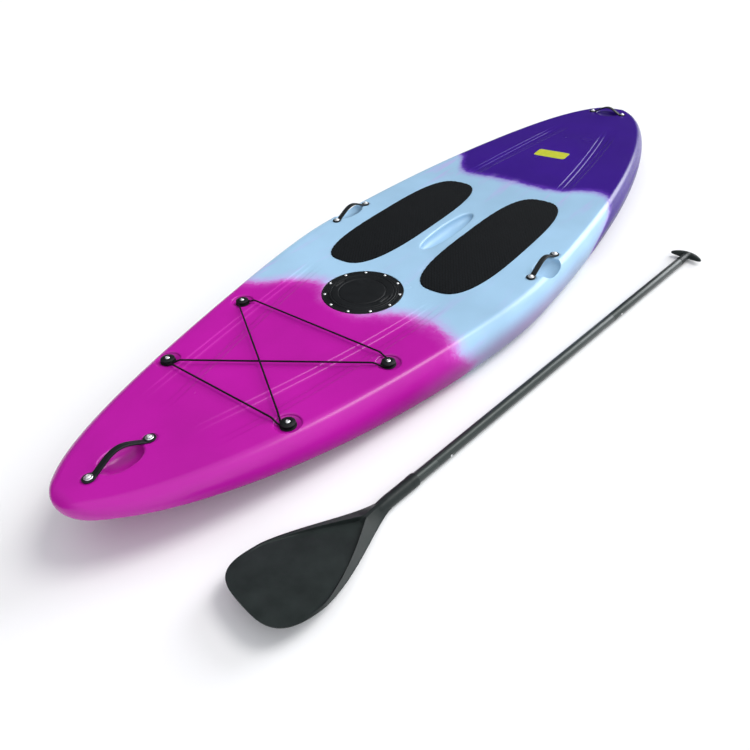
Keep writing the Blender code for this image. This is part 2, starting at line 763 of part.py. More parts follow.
def build_handle(name, place, half, mats):
    """Arched strap with a round tab at each end, on two washers and two screws."""
    low = -TAB_BED_DEPTH + GAP
    arch_half = half - HANDLE_TAB_RADIUS * 0.85
    rings = []
    spots = []
    for turn in (12.0, 38.0, 70.0, 100.0):
        spots.append(-half - HANDLE_TAB_RADIUS * math.cos(math.radians(turn)))
    outer = spots + [-arch_half]
    steps = 10
    inner = [arch_half * (2.0 * k / steps - 1.0) for k in range(1, steps)]
    spots = outer + inner + [-s for s in reversed(outer)]
    for s in spots:
        round_width = 2.0 * math.sqrt(max(HANDLE_TAB_RADIUS ** 2 - (abs(s) - half) ** 2, 0.0))
        share = min(abs(s) / arch_half, 1.0)
        lift = HANDLE_ARCH * (0.5 + 0.5 * math.cos(math.pi * share)) ** 0.65
        if abs(s) >= arch_half - 1e-9:
            width, thick, lift = max(round_width, 0.004), HANDLE_TAB_THICKNESS, 0.0
        else:
            width, thick = HANDLE_WIDTH, HANDLE_THICKNESS
        section = handle_section(width, thick)
        rings.append([place @ Vector((s, a, low + lift + b)) for a, b in section])
    strap = loft(name, rings, mats["black"])
    for label, side in (("a", -1.0), ("b", 1.0)):
        spot = place @ at(side * half, 0.0, 0.0)
        cut(strap, screw_hole(name + " hole " + label, BOLT_SHANK_RADIUS, spot))
        top = low + HANDLE_TAB_THICKNESS + GAP
        hole = BOLT_SHANK_RADIUS + GAP
        profile = [(hole, 0.0), (WASHER_RADIUS, 0.0), (WASHER_RADIUS - 0.0012, WASHER_THICKNESS),
                   (hole, WASHER_THICKNESS)]
        lathe(name + "_washer_" + label, profile, 12, mats["steel"], place=spot @ at(0, 0, top), closed=True)
        seat = spot @ at(0.0, 0.0, top + WASHER_THICKNESS + GAP)
        screw(name + "_screw_" + label, seat, BOLT_SHANK_RADIUS, BOLT_HEAD_RADIUS,
              BOLT_HEAD_HEIGHT, BOLT_LENGTH, mats["steel"])


def build_drain(mats):
    place = drain_place()
    hole = DRAIN_SHANK_RADIUS + GAP
    outer = DRAIN_HEAD_RADIUS
    lathe("drain_seal", [(hole, GAP), (outer, GAP), (outer, DRAIN_SEAL_THICKNESS), (hole, DRAIN_SEAL_THICKNESS)],
          20, mats["rubber"], place=place, closed=True)
    low = DRAIN_SEAL_THICKNESS + GAP
    top = low + DRAIN_HEAD_HEIGHT
    profile = [(0.0, -DRAIN_SHANK_LENGTH), (DRAIN_SHANK_RADIUS - 0.001, -DRAIN_SHANK_LENGTH),
               (DRAIN_SHANK_RADIUS, -DRAIN_SHANK_LENGTH + 0.001), (DRAIN_SHANK_RADIUS, low), (outer, low),
               (outer, top - 0.0015), (outer - 0.0015, top), (0.0, top)]
    plug = lathe("drain_plug", profile, 20, mats["black"], place=place)
    slots = []
    for side in (-1.0, 1.0):
        reach = outer - 0.003
        outline = superellipse(reach * DRAIN_SLOT_SHARES[0], reach * DRAIN_SLOT_SHARES[1], 3.0, 16)
        outline = [(x + side * (DRAIN_GRIP_WIDTH / 2.0 + reach * DRAIN_SLOT_SHARES[0]), y) for x, y in outline]
        rings = [[place @ Vector((x, y, z)) for x, y in outline] for z in (top - 0.005, top + 0.005)]
        slots.append(loft("grip slot", rings))
    cut(plug, join("drain grip slots", slots))


def paddle_place():
    """Frame of the paddle: local x runs from the tip to the grip, on the shaft's axis."""
    turn = Matrix.Rotation(math.radians(PADDLE_HEADING), 4, 'Z')
    return at(PADDLE_TIP[0], PADDLE_TIP[1], SOCKET_RADIUS) @ turn


def along_shaft(distance):
    """Frame on the shaft's axis whose local z runs along the shaft."""
    return paddle_place() @ at(distance, 0.0, 0.0) @ Matrix.Rotation(math.pi / 2.0, 4, 'Y')


def blade_half_width(share):
    """Half the blade's width: a blunt tip with round corners, then an S-shaped taper to the socket."""
    first, second = BLADE_TAPER_POWERS
    near_tip = min(share / BLADE_TIP_SHARE, 1.0)
    tip = (1.0 - (1.0 - near_tip) ** 3.0) ** 0.306
    far = max((share - BLADE_TIP_SHARE) / (1.0 - BLADE_TIP_SHARE), 0.0)
    taper = (1.0 - far ** first) ** second
    return (SOCKET_RADIUS + (BLADE_WIDTH / 2.0 - SOCKET_RADIUS) * taper) * tip


def blade_rings():
    """Sections from the tip to the socket: a sunk panel between two arms that join on the shaft."""
    rings = []
    first, last = BLADE_PANEL_SHARES
    full_rise = BLADE_LENGTH * math.tan(math.radians(BLADE_BEND))
    count = 20
    for k in range(count + 1):
        share = 0.0015 + 0.9985 * (k / count) ** 1.4
        half = blade_half_width(share)
        base = full_rise * (1.0 - share) ** 2.0 - SOCKET_RADIUS * 0.2
        along = min(max((share - first) / (last - first), 0.0), 1.0)
        flat = min(BLADE_WIDTH / 2.0 * (1.0 - along ** 1.5), half * 0.93)
        flat = max(flat, 0.0010)
        wall = min(BLADE_ARM_WALL, 0.3 * (half - flat))
        ridge = SOCKET_RADIUS * 1.2 * max((share - first) / (1.0 - first), 0.0) ** 1.3
        top = [(-half, base), (-flat - wall, base + ridge), (-flat, base), (flat, base),
               (flat + wall, base + ridge), (half, base)]
        if along == 1.0:
            top[2:4] = [(-flat, base + ridge), (flat, base + ridge)]
        spine = SOCKET_RADIUS * 2.0 * max(share - 0.55, 0.0) / 0.45
        belly = max(base - max(BLADE_THICKNESS, spine), -SOCKET_RADIUS)
        low = [(half, base - BLADE_RIM), (half * 0.5, belly), (-half * 0.5, belly), (-half, base - BLADE_RIM)]
        rings.append([(BLADE_LENGTH * share, y, z) for y, z in top + low])
    return rings


def tube(name, first, last, outer, wall, mat, sides=16):
    length = last - first
    profile = [(outer - wall, 0.0), (outer, 0.0), (outer, length), (outer - wall, length)]
    return lathe(name, profile, sides, mat, place=along_shaft(first), closed=True)


def joint_places():
    """Where the three sections of the shaft meet, and where the grip starts."""
    return LOWER_JOINT, PADDLE_LENGTH - UPPER_SECTION_LENGTH, PADDLE_LENGTH - GRIP_LENGTH


def spring_pin_frame(distance):
    """Frame of a spring button: local z points out of the shaft, to the side away from the hull."""
    frame = paddle_place() @ at(distance, 0.0, 0.0)
    return frame @ Matrix.Rotation(math.pi / 2.0, 4, 'X')


def build_paddle(mats):
    place = paddle_place()
    rings = [[place @ Vector(p) for p in ring] for ring in blade_rings()]
    blade = loft("paddle_blade", rings, mats["paddle"])
    socket_start = BLADE_LENGTH - SOCKET_NOSE_LENGTH
    profile = [(0.0, 0.0), (SOCKET_RADIUS * 0.55, 0.0), (SOCKET_RADIUS * 0.9, SOCKET_NOSE_LENGTH * 0.45),
               (SOCKET_RADIUS, SOCKET_NOSE_LENGTH),
               (SOCKET_RADIUS, SOCKET_END - socket_start - 0.002),
               (SOCKET_RADIUS - 0.001, SOCKET_END - socket_start), (0.0, SOCKET_END - socket_start)]
    socket = lathe("socket", profile, 20, place=along_shaft(socket_start))
    mod = blade.modifiers.new("socket", 'BOOLEAN')
    mod.operation = 'UNION'
    mod.solver = 'EXACT'
    mod.object = hide_as_cutter(socket)
    bore = lathe("socket bore", [(0.0, 0.0), (TUBE_RADIUS + GAP, 0.0), (TUBE_RADIUS + GAP, 0.2), (0.0, 0.2)],
                 20, place=along_shaft(STUB_START - GAP))
    cut(blade, bore)
    lower_end, middle_end, upper_end = joint_places()
    tube("paddle_lower_tube", STUB_START, lower_end, TUBE_RADIUS, TUBE_WALL, mats["shaft"])
    middle = tube("paddle_middle_tube", lower_end + GAP, middle_end, TUBE_RADIUS, TUBE_WALL, mats["shaft"])
    upper = tube("paddle_upper_tube", middle_end + GAP, upper_end, TUBE_RADIUS, TUBE_WALL, mats["shaft"])
    spigot_radius = TUBE_RADIUS - TUBE_WALL - GAP * 2.0
    for label, joint, outer in (("lower", lower_end, middle), ("upper", middle_end, upper)):
        spigot = tube("paddle_%s_spigot" % label, joint - SPIGOT_HALF_LENGTH, joint + SPIGOT_HALF_LENGTH,
                      spigot_radius, SPIGOT_WALL, mats["shaft"], sides=12)
        frame = spring_pin_frame(joint + BUTTON_FROM_JOINT)
        hole = SPRING_PIN_RADIUS + GAP
        for piece in (spigot, outer):
            cut(piece, drill(piece.name + " button hole", hole, frame, 0.0, sides=12))
        top = TUBE_RADIUS + SPRING_PIN_PROUD
        low = top - SPRING_PIN_LENGTH
        profile = [(0.0, low), (SPRING_PIN_RADIUS, low), (SPRING_PIN_RADIUS, top - 0.0012),
                   (SPRING_PIN_RADIUS * 0.7, top - 0.0004), (0.0, top)]
        lathe("paddle_%s_spring_button" % label, profile, 12, mats["steel"], place=frame)
    build_grip(mats["paddle"])


def build_grip(mat):
    """Palm grip: a plug in the tube, a neck, and a bar bowed back at both ends."""
    place = paddle_place()
    neck_end = PADDLE_LENGTH - GRIP_BAR_RADIUS * 1.2
    plug = TUBE_RADIUS - TUBE_WALL - GAP
    start = joint_places()[2] + GAP
    profile = [(0.0, -GRIP_PLUG_LENGTH), (plug, -GRIP_PLUG_LENGTH), (plug, 0.0), (TUBE_RADIUS, 0.0),
               (TUBE_RADIUS, 0.030), (TUBE_RADIUS * 0.9, neck_end - start), (0.0, neck_end - start)]
    grip = lathe("paddle_t_grip", profile, 16, mat, place=along_shaft(start))
    rings = []
    half = GRIP_BAR_LENGTH / 2.0
    count = 12
    for k in range(count + 1):
        y = -half * math.cos(math.pi * (k + 0.25) / (count + 0.5))
        share = abs(y) / half
        radius = GRIP_BAR_RADIUS * (1.0 - share ** 3.0) ** 0.5 * (1.0 - 0.18 * share)
        middle = PADDLE_LENGTH - GRIP_BAR_RADIUS - GRIP_BAR_DROOP * share ** 2.0
        ring = []
        for j in range(12):
            turn = 2.0 * math.pi * j / 12
            ring.append(place @ Vector((middle + radius * math.cos(turn), y, 0.85 * radius * math.sin(turn))))
        rings.append(ring)
    bar = loft("grip bar", rings)
    mod = grip.modifiers.new("bar", 'BOOLEAN')
    mod.operation = 'UNION'
    mod.solver = 'EXACT'
    mod.object = hide_as_cutter(bar)


def build():
    clear_scene()
    mats = {
        "hull": material("rotomoulded polyethylene", (0.38, 0.62, 0.84), 0.35),
        "foam": material("ribbed EVA foam", (0.012, 0.013, 0.016), 0.9),
        "black": material("black moulded nylon", (0.012, 0.014, 0.016), 0.4),
        "rubber": material("black rubber", (0.02, 0.02, 0.02), 0.8),
        "steel": material("stainless steel", (0.62, 0.63, 0.62), 0.25, 1.0),
        "cord": material("braided bungee", (0.015, 0.015, 0.018), 0.7),
        "paddle": material("glass-filled nylon", (0.022, 0.028, 0.026), 0.45),
        "shaft": material("dark anodised aluminium", (0.035, 0.045, 0.042), 0.35, 0.4),
    }
    build_hull(mats["hull"])
    build_pads(mats["foam"])
    build_hatch(mats)
    build_buttons(mats)
    build_bungee(mats["cord"])
    for name, (place, half) in handle_places().items():
        build_handle(name, place, half, mats)
    build_drain(mats)
    build_paddle(mats)


build()
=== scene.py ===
import math

import bmesh
import bpy
import numpy as np
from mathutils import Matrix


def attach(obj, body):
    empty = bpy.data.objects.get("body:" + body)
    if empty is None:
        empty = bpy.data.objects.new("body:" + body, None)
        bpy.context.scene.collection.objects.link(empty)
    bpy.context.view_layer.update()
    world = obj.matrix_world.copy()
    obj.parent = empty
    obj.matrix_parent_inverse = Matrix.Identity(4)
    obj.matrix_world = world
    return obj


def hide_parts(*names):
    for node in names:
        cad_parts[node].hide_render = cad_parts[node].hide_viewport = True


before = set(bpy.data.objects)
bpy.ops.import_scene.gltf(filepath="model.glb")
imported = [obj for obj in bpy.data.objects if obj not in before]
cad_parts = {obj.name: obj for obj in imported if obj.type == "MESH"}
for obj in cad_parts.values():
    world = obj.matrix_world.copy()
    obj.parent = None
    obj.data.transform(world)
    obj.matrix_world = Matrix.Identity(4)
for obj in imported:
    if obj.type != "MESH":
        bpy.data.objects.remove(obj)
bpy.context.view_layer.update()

# Camera
# It stands where the photograph was taken from: ahead of the bow, on the port side,
# 1.1 m over the floor, and it looks down along the board towards the stern.
def aim(thing, side, up, back, place):
    """Turns an object's x, y and z axes to side, up and back, moves it to its place and links it."""
    matrix = np.eye(4)
    matrix[:3] = np.column_stack([side, up, back, place])
    thing.matrix_world = matrix.T.tolist()
    bpy.context.scene.collection.objects.link(thing)


camera_place = np.array([1.816127, 1.019399, 1.111356])
camera_yaw, camera_pitch, camera_roll = -2.468352, 0.679051, -0.052383
look = np.array([math.cos(camera_yaw) * math.cos(camera_pitch),
                 math.sin(camera_yaw) * math.cos(camera_pitch), -math.sin(camera_pitch)])
level = np.array([math.sin(camera_yaw), -math.cos(camera_yaw), 0.0])
upright = np.cross(level, look)
across = math.cos(camera_roll) * level + math.sin(camera_roll) * upright
upward = math.cos(camera_roll) * upright - math.sin(camera_roll) * level
lens = bpy.data.cameras.new("camera")
lens.sensor_width = 36.0
lens.lens = 28.896
lens.clip_start = 0.05
lens.clip_end = 200.0
camera = bpy.data.objects.new("camera", lens)
aim(camera, across, upward, -look, camera_place)
bpy.context.scene.camera = camera
bpy.context.scene.view_settings.view_transform = "Standard"


# Floor and light
# The floor is plain white board. A round soft lamp behind the stern and a sun above it draw the
# bright lines along the strips and the rail. The room is grey, and brightest just above the floor.
def add_node(tree, kind, where=None, **values):
    """One shader node. Values that name a socket are linked from another node's socket or set."""
    node = tree.nodes.new(kind)
    for name, value in (where or {}).items():
        setattr(node, name, value)
    for name, value in values.items():
        key = int(name[1:]) if name[1:].isdigit() else name.replace("_", " ")
        if isinstance(value, bpy.types.NodeSocket):
            tree.links.new(value, node.inputs[key])
        else:
            node.inputs[key].default_value = value
    return node


def feed(tree, shader, **sockets):
    """Links sockets to the shader inputs that they are named after."""
    for key, socket in sockets.items():
        tree.links.new(socket, shader.inputs[key.replace("_", " ")])


def plain_material(name, colour, roughness, **more):
    """A Principled material, with its tree and shader handed back for the details."""
    made = bpy.data.materials.new(name)
    made.use_nodes = True
    shader = made.node_tree.nodes["Principled BSDF"]
    shader.inputs["Base Color"].default_value = (*colour, 1.0)
    shader.inputs["Roughness"].default_value = roughness
    for key, value in more.items():
        shader.inputs[key.replace("_", " ")].default_value = value
    return made, made.node_tree, shader


def compute(tree, operation, *values, clamped=False):
    """The result of a math node whose inputs are sockets or numbers."""
    named = {"_%d" % k: value for k, value in enumerate(values)}
    where = {"operation": operation, "use_clamp": clamped}
    return add_node(tree, "ShaderNodeMath", where, **named).outputs[0]


def remap(tree, value, low, high, to_low=0.0, to_high=1.0, kind="LINEAR"):
    """A value that runs from one number to another while the given one runs from low to high."""
    node = add_node(tree, "ShaderNodeMapRange", {"interpolation_type": kind}, Value=value, From_Min=low,
                    From_Max=high, To_Min=to_low, To_Max=to_high)
    return node.outputs["Result"]


def mix(tree, kind, factor, first, second):
    """The first value or colour, or as much of the second as the factor says."""
    node = add_node(tree, "ShaderNodeMix", {"data_type": kind}, Factor=factor, A=first, B=second)
    return node.outputs["Result"]


floor_reach = 30.0
floor_mesh = bpy.data.meshes.new("studio_floor")
floor_corners = floor_reach * np.array([[-1.0, -1.0, 0.0], [1.0, -1.0, 0.0], [1.0, 1.0, 0.0],
                                        [-1.0, 1.0, 0.0]])
floor_mesh.from_pydata(floor_corners.tolist(), [], [(0, 1, 2, 3)])
floor = bpy.data.objects.new("studio_floor", floor_mesh)
bpy.context.scene.collection.objects.link(floor)
floor_white = plain_material("floor white", (0.90, 0.90, 0.90), 0.9, Specular_IOR_Level=0.1)[0]
floor_mesh.materials.append(floor_white)

room = bpy.data.worlds.new("studio room")
room.use_nodes = True
bpy.context.scene.world = room
room_tree = room.node_tree
sky_way = room_tree.nodes.new("ShaderNodeTexCoord").outputs["Generated"]
sky_parts = add_node(room_tree, "ShaderNodeSeparateXYZ", Vector=sky_way)
sky_turn = add_node(room_tree, "ShaderNodeVectorMath", {"operation": "DOT_PRODUCT"}, _0=sky_way,
                    _1=(0.30, 0.95, 0.0))
sky_side = remap(room_tree, sky_turn.outputs["Value"], -0.10, 0.35, 0.05, 1.10, kind="SMOOTHSTEP")
sky_rise = remap(room_tree, sky_parts.outputs["Z"], 0.62, 0.92, kind="SMOOTHSTEP")
sky_upper = mix(room_tree, "FLOAT", sky_rise, sky_side, 0.90)
sky_low = remap(room_tree, sky_parts.outputs["Z"], 0.10, 0.03, kind="SMOOTHSTEP")
sky_light = mix(room_tree, "FLOAT", sky_low, sky_upper, 1.25)
lamp_turn = add_node(room_tree, "ShaderNodeVectorMath", {"operation": "DOT_PRODUCT"}, _0=sky_way,
                     _1=(-0.867, 0.265, 0.423))
lamp_glow = remap(room_tree, lamp_turn.outputs["Value"], 0.945, 0.975, 0.0, 6.5, kind="SMOOTHSTEP")
sky_lit = compute(room_tree, "ADD", sky_light, lamp_glow)
sky_colour = add_node(room_tree, "ShaderNodeVectorMath", {"operation": "SCALE"}, Vector=(0.97, 0.99, 1.03),
                      Scale=sky_lit)
room_back = room_tree.nodes["Background"]
room_tree.links.new(sky_colour.outputs["Vector"], room_back.inputs["Color"])
room_back.inputs["Strength"].default_value = 1.0

# One sun, high over the stern on the port side, with soft edges to its shadows
sun_data = bpy.data.lights.new("sun", "SUN")
sun_data.energy = 1.15
sun_data.angle = math.radians(24.0)
sun_data.color = (1.0, 0.985, 0.96)
sun = bpy.data.objects.new("sun", sun_data)
sun_back = np.array([-0.458, 0.321, 0.829])
sun_side = np.cross((0.0, 0.0, 1.0), sun_back)
sun_side = sun_side / np.linalg.norm(sun_side)
aim(sun, sun_side, np.cross(sun_back, sun_side), sun_back, (-2.0, 0.5, 4.0))


# Hull
# One hollow shell of polyethylene, turned in a hot mould from three colours of powder, so the
# colours run into each other where they met. Strips, dishes and scoops are moulded into the deck.
half_length = 1.6
widest_station = 0.239
half_beam_most = 0.4545
rail_share = 0.52
rail_width, hip_width = 0.041, 0.056
nose_round = 0.030
strip_step = -0.0017
strip_slope = 0.0045
strip_terrace = 0.0150


def climb(x, start, height, power):
    """Height that grows from 0 at a start station to its full value at the hull's end, as a power."""
    return height * np.clip((x - start) / (half_length - start), 0.0, 1.0) ** power


def half_beam(x):
    """Two superellipse quarters, B (1 - s^a)^b, where s runs from 0 at the widest to 1 at the end."""
    fore = np.clip((x - widest_station) / (half_length - widest_station), 0.0, 1.0)
    fore = (np.hypot(fore, 0.15) - 0.15) / (math.hypot(1.0, 0.15) - 0.15)
    aft = np.clip((widest_station - x) / (half_length + widest_station), 0.0, 1.0)
    bow = np.clip(1.0 - fore ** 1.002, 0.0, 1.0) ** 0.494
    stern = np.clip(1.0 - aft ** 1.840, 0.0, 1.0) ** 0.467
    return half_beam_most * np.where(x > widest_station, bow, stern)


def deck_height(x):
    """Flat deck at 150 mm that lifts as a square towards the bow and the stern."""
    return 0.150 + climb(x, 0.7, 0.027, 2.0) + climb(-x, 0.7, 0.017, 2.0)


def keel_height(x):
    """Flat bottom on the floor that curves up towards both ends."""
    return climb(x, 0.5, 0.132, 2.2) + climb(-x, 0.7, 0.066, 2.2)


def smooth(t):
    """The smooth step 3t^2 - 2t^3 between 0 and 1."""
    t = np.clip(t, 0.0, 1.0)
    return t * t * (3.0 - 2.0 * t)


def strip_lines(x):
    """Inner and outer line of the sunk strip at a station, and how far it has sunk there."""
    outer = half_beam(x) * (0.585 + 0.045 * np.tanh(x / 0.3))
    bow_width = 0.066 + 0.034 * smooth((x - 0.55) / 0.75)
    stern_width = 0.055 + 0.016 * smooth((-x - 0.45) / 0.75)
    width = np.minimum(np.where(x > 0.0, bow_width, stern_width), 0.65 * outer)
    bow = smooth((x - 0.50) / 0.14) * smooth((1.33 - x) / 0.22)
    stern = smooth((-x - 0.40) / 0.14) * smooth((1.27 + x) / 0.22)
    return outer - width, outer, bow + stern


def hull_surface(stations, half_count):
    """Closed sections carried along the hull.

    A half section runs over the deck, where two small steps lead down into the strip and two out,
    round the rail on two elliptical arcs, and back along the bottom to the middle. The last
    30 mm towards each end are rounded off as an ellipse.
    """
    x = stations[:, None]
    half = half_beam(x)
    top = deck_height(x)
    low = keel_height(x)
    middle = low + (top - low) * rail_share
    into_nose = np.clip((np.abs(x) - half_length + nose_round) / nose_round, 0.0, 1.0)
    nose = 0.10 + 0.90 * np.sqrt(1.0 - into_nose ** 2)
    top = middle + (top - middle) * nose
    low = middle - (middle - low) * nose
    upper = np.minimum(rail_width, 0.46 * half)
    lower = np.minimum(hip_width, 0.50 * half)
    inner, outer, risen = strip_lines(x)
    edge = np.minimum(1.0, (outer - inner) / 0.050)
    step = strip_terrace * edge
    run = strip_slope * edge
    squeeze = np.minimum(1.0, 0.94 * (half - upper) / (outer + 2.0 * run))
    marks = np.concatenate([inner * 0.0, inner - 2.0 * run, inner, inner + run, inner + run + step,
                            inner + 2.0 * run + step, (inner + outer) / 2.0, outer - 2.0 * run - step,
                            outer - run - step, outer - run, outer, outer + 2.0 * run], axis=1)
    marks = np.concatenate([marks * squeeze, half - upper], axis=1)
    parts = np.array([9, 2, 4, 2, 4, 2, 2, 4, 2, 4, 2, 7])
    shares = np.concatenate([k + np.arange(n) / n for k, n in enumerate(parts)] + [[float(len(parts))]])
    low_mark = np.minimum(shares.astype(int), len(parts) - 1)
    between = shares - low_mark
    y = marks[:, low_mark] * (1.0 - between) + marks[:, low_mark + 1] * between
    up = smooth((y - inner) / run) + smooth((y - inner - run - step) / run)
    down = smooth((outer - y) / run) + smooth((outer - run - step - y) / run)
    z = top + strip_step * risen * np.minimum(up, down)
    turn = np.linspace(0.0, math.pi / 2.0, 13)[1:][None, :]
    rail_y = half - upper + upper * np.sin(turn)
    rail_z = middle + (top - middle) * np.cos(turn)
    hip_y = half - lower + lower * np.cos(turn)
    hip_z = middle - (middle - low) * np.sin(turn)
    bottom_y = (half - lower) * np.linspace(1.0, 0.0, half_count)[1:][None, :]
    bottom_z = low + 0.0 * bottom_y
    side_y = np.concatenate([y, rail_y, hip_y, bottom_y], axis=1)
    side_z = np.concatenate([z, rail_z, hip_z, bottom_z], axis=1)
    ring_y = np.concatenate([side_y, -side_y[:, -2:0:-1]], axis=1)
    ring_z = np.concatenate([side_z, side_z[:, -2:0:-1]], axis=1)
    return np.stack([np.broadcast_to(x, ring_y.shape), ring_y, ring_z], axis=2)


def grid_faces(rows, columns, round_rows=False):
    """Quads between neighbouring points of a grid. Its columns close on themselves, and its rows may too."""
    r = np.arange(rows if round_rows else rows - 1)[:, None]
    c = np.arange(columns)[None, :]
    r2 = (r + 1) % rows
    c2 = (c + 1) % columns
    quads = np.stack([r * columns + c, r2 * columns + c, r2 * columns + c2, r * columns + c2], axis=-1)
    return quads.reshape(-1, 4)


def put_mesh(name, points, faces, finish=None, smooth_angle=35.0, caps=(), uv=None):
    """Makes an object of points and faces, with its normals turned outwards."""
    mesh = bpy.data.meshes.new(name)
    mesh.from_pydata(np.asarray(points, float).reshape(-1, 3).tolist(), [],
                     [list(map(int, f)) for f in faces] + [list(map(int, f)) for f in caps])
    if uv is not None:
        layer = mesh.uv_layers.new(name="along")
        corners = np.empty(len(mesh.loops), dtype=np.int32)
        mesh.loops.foreach_get("vertex_index", corners)
        layer.data.foreach_set("uv", np.asarray(uv, np.float32).reshape(-1, 2)[corners].ravel())
    work = bmesh.new()
    work.from_mesh(mesh)
    bmesh.ops.remove_doubles(work, verts=work.verts, dist=1e-7)
    bmesh.ops.recalc_face_normals(work, faces=work.faces)
    if work.calc_volume(signed=True) < 0.0:
        bmesh.ops.reverse_faces(work, faces=work.faces)
    work.to_mesh(mesh)
    work.free()
    made = bpy.data.objects.new(name, mesh)
    bpy.context.scene.collection.objects.link(made)
    if finish:
        mesh.materials.append(finish)
    mesh.shade_smooth()
    mesh.set_sharp_from_angle(angle=math.radians(smooth_angle))
    return made


def put_shell(name, rings, finish=None, smooth_angle=35.0):
    """Makes a closed shell of rings, with the middle of each end ring as a pole."""
    rings = np.asarray(rings, float)
    rows, columns = rings.shape[:2]
    points = np.concatenate([rings.reshape(-1, 3), rings[0].mean(0)[None], rings[-1].mean(0)[None]])
    k = np.arange(columns)
    n = (k + 1) % columns
    last = (rows - 1) * columns
    first_cap = np.stack([np.full(columns, rows * columns), n, k], axis=1)
    last_cap = np.stack([np.full(columns, rows * columns + 1), last + k, last + n], axis=1)
    caps = first_cap.tolist() + last_cap.tolist()
    return put_mesh(name, points, grid_faces(rows, columns), finish, smooth_angle, caps)


def round_steps(count):
    """Angles of equal steps once round a circle."""
    return 2.0 * math.pi * np.arange(count) / count


def oval(half_x, half_y, power, count):
    """A superellipse, |x/a|^p + |y/b|^p = 1, as count points."""
    turn = round_steps(count)
    c, s = np.cos(turn), np.sin(turn)
    return np.stack([half_x * np.sign(c) * np.abs(c) ** (2.0 / power),
                     half_y * np.sign(s) * np.abs(s) ** (2.0 / power)], axis=1)


def level_ring(half_x, half_y, power, count, z):
    """A superellipse laid at one height."""
    return np.column_stack([oval(half_x, half_y, power, count), np.full(count, z)])


def moved(x, y=0.0, z=0.0):
    """Matrix that shifts without a turn."""
    matrix = np.eye(4)
    matrix[:3, 3] = (x, y, z)
    return matrix


def spun(turn):
    """Matrix that turns about z."""
    c, s = math.cos(turn), math.sin(turn)
    return np.array([[c, -s, 0.0, 0.0], [s, c, 0.0, 0.0], [0.0, 0.0, 1.0, 0.0], [0.0, 0.0, 0.0, 1.0]])


def deck_frame(x, y, turn=0.0):
    """Matrix that lays local z = 0 on the deck's slope at (x, y), turned about its normal."""
    step = 0.001
    slope = math.atan(float(deck_height(x + step) - deck_height(x - step)) / (2.0 * step))
    c, s = math.cos(slope), math.sin(slope)
    tilt = np.array([[c, 0.0, -s, 0.0], [0.0, 1.0, 0.0, 0.0], [s, 0.0, c, 0.0], [0.0, 0.0, 0.0, 1.0]])
    return moved(x, y, float(deck_height(x))) @ tilt @ spun(turn)


def placed(points, matrix):
    """Points carried by a 4 x 4 matrix."""
    points = np.asarray(points, float)
    return points @ matrix[:3, :3].T + matrix[:3, 3]


def lipped_cutter(name, half_x, half_y, power, floor, lip, matrix, count):
    """Tool for a recess whose mouth opens out on a round lip.

    The wall follows the given floor profile of (spread, depth) pairs, then widens on a circular
    arc of the lip's radius until it leaves the deck at 12 degrees.
    """
    swing = np.radians(np.linspace(0.0, 78.0, 7))
    lip_out = lip * (1.0 - np.cos(swing))
    lip_up = lip * (np.sin(swing) - 1.0)
    over_deck = 0.0004
    rise = over_deck - lip_up[-1]
    rings = [level_ring(half_x * s, half_y * s, power, count, -d) for s, d in floor]
    for out, up in zip(lip_out, lip_up):
        rings.append(level_ring(half_x + out, half_y + out, power, count, up))
    mouth = lip_out[-1] + rise * math.tan(swing[-1])
    for up in (over_deck, 0.05):
        rings.append(level_ring(half_x + mouth, half_y + mouth, power, count, up))
    return put_shell(name, placed(rings, matrix))


def bowl_floor(depth, lip, count=12):
    """Half an ellipsoid from its lowest point up to just under the lip."""
    turn = np.linspace(math.pi / 2.0 / count, math.pi / 2.0, count)
    return [(float(math.sin(t)), float(lip + (depth - lip) * math.cos(t))) for t in turn[:-1]]


station_angles = np.linspace(0.0, math.pi, 262)[1:-1]
hull_stations = -half_length * np.cos(station_angles)
hull_piece = put_shell("board_hull", hull_surface(hull_stations, 14))

bow_handle_x, side_handle_x, stern_handle_x = 1.443, 0.138, -1.490
side_handle_y = 0.392
handle_spots = {"bow_handle": (deck_frame(bow_handle_x, 0.0), 0.0765),
                "port_handle": (deck_frame(side_handle_x, side_handle_y), 0.0890),
                "starboard_handle": (deck_frame(side_handle_x, -side_handle_y, math.pi), 0.0890),
                "stern_handle": (deck_frame(stern_handle_x, 0.0, math.pi / 2.0), 0.0760)}
button_spots = {"port_front": (1.146, 0.2195), "starboard_front": (1.146, -0.2195),
                "port_rear": (0.823, 0.2745), "starboard_rear": (0.823, -0.2745)}
hatch_x = 0.578
pad_x, pad_y = 0.065, 0.182
drain_matrix = np.array([[0.0, 0.0, -1.0, -1.57], [0.0, 1.0, 0.0, 0.0],
                         [1.0, 0.0, 0.0, 0.115], [0.0, 0.0, 0.0, 1.0]])

cutters = []
for label, (x, y) in button_spots.items():
    floor_rings = [(0.30, 0.0085), (0.645, 0.0085), (0.68, 0.0083), (0.72, 0.0078)]
    cutters.append(lipped_cutter("dish " + label, 0.0325, 0.0325, 2.0, floor_rings, 0.0045,
                                 deck_frame(x, y), 56))
for label, (matrix, span) in handle_spots.items():
    outboard = moved(0.0, 0.016 if label in ("port_handle", "starboard_handle") else 0.0)
    cutters.append(lipped_cutter("scoop " + label, span - 0.0245, 0.0385, 2.2,
                                 bowl_floor(0.030, 0.005), 0.005, matrix @ outboard, 72))
    for side in (-1.0, 1.0):
        cutters.append(lipped_cutter("tab bed " + label, 0.0182, 0.0182, 2.0,
                                     [(0.4, 0.0015), (0.9, 0.0015), (1.0, 0.0013)], 0.0010,
                                     matrix @ moved(side * span), 48))
cutters.append(lipped_cutter("well", 0.1660, 0.0330, 2.2, bowl_floor(0.036, 0.008), 0.008,
                             deck_frame(0.078, 0.0), 96))
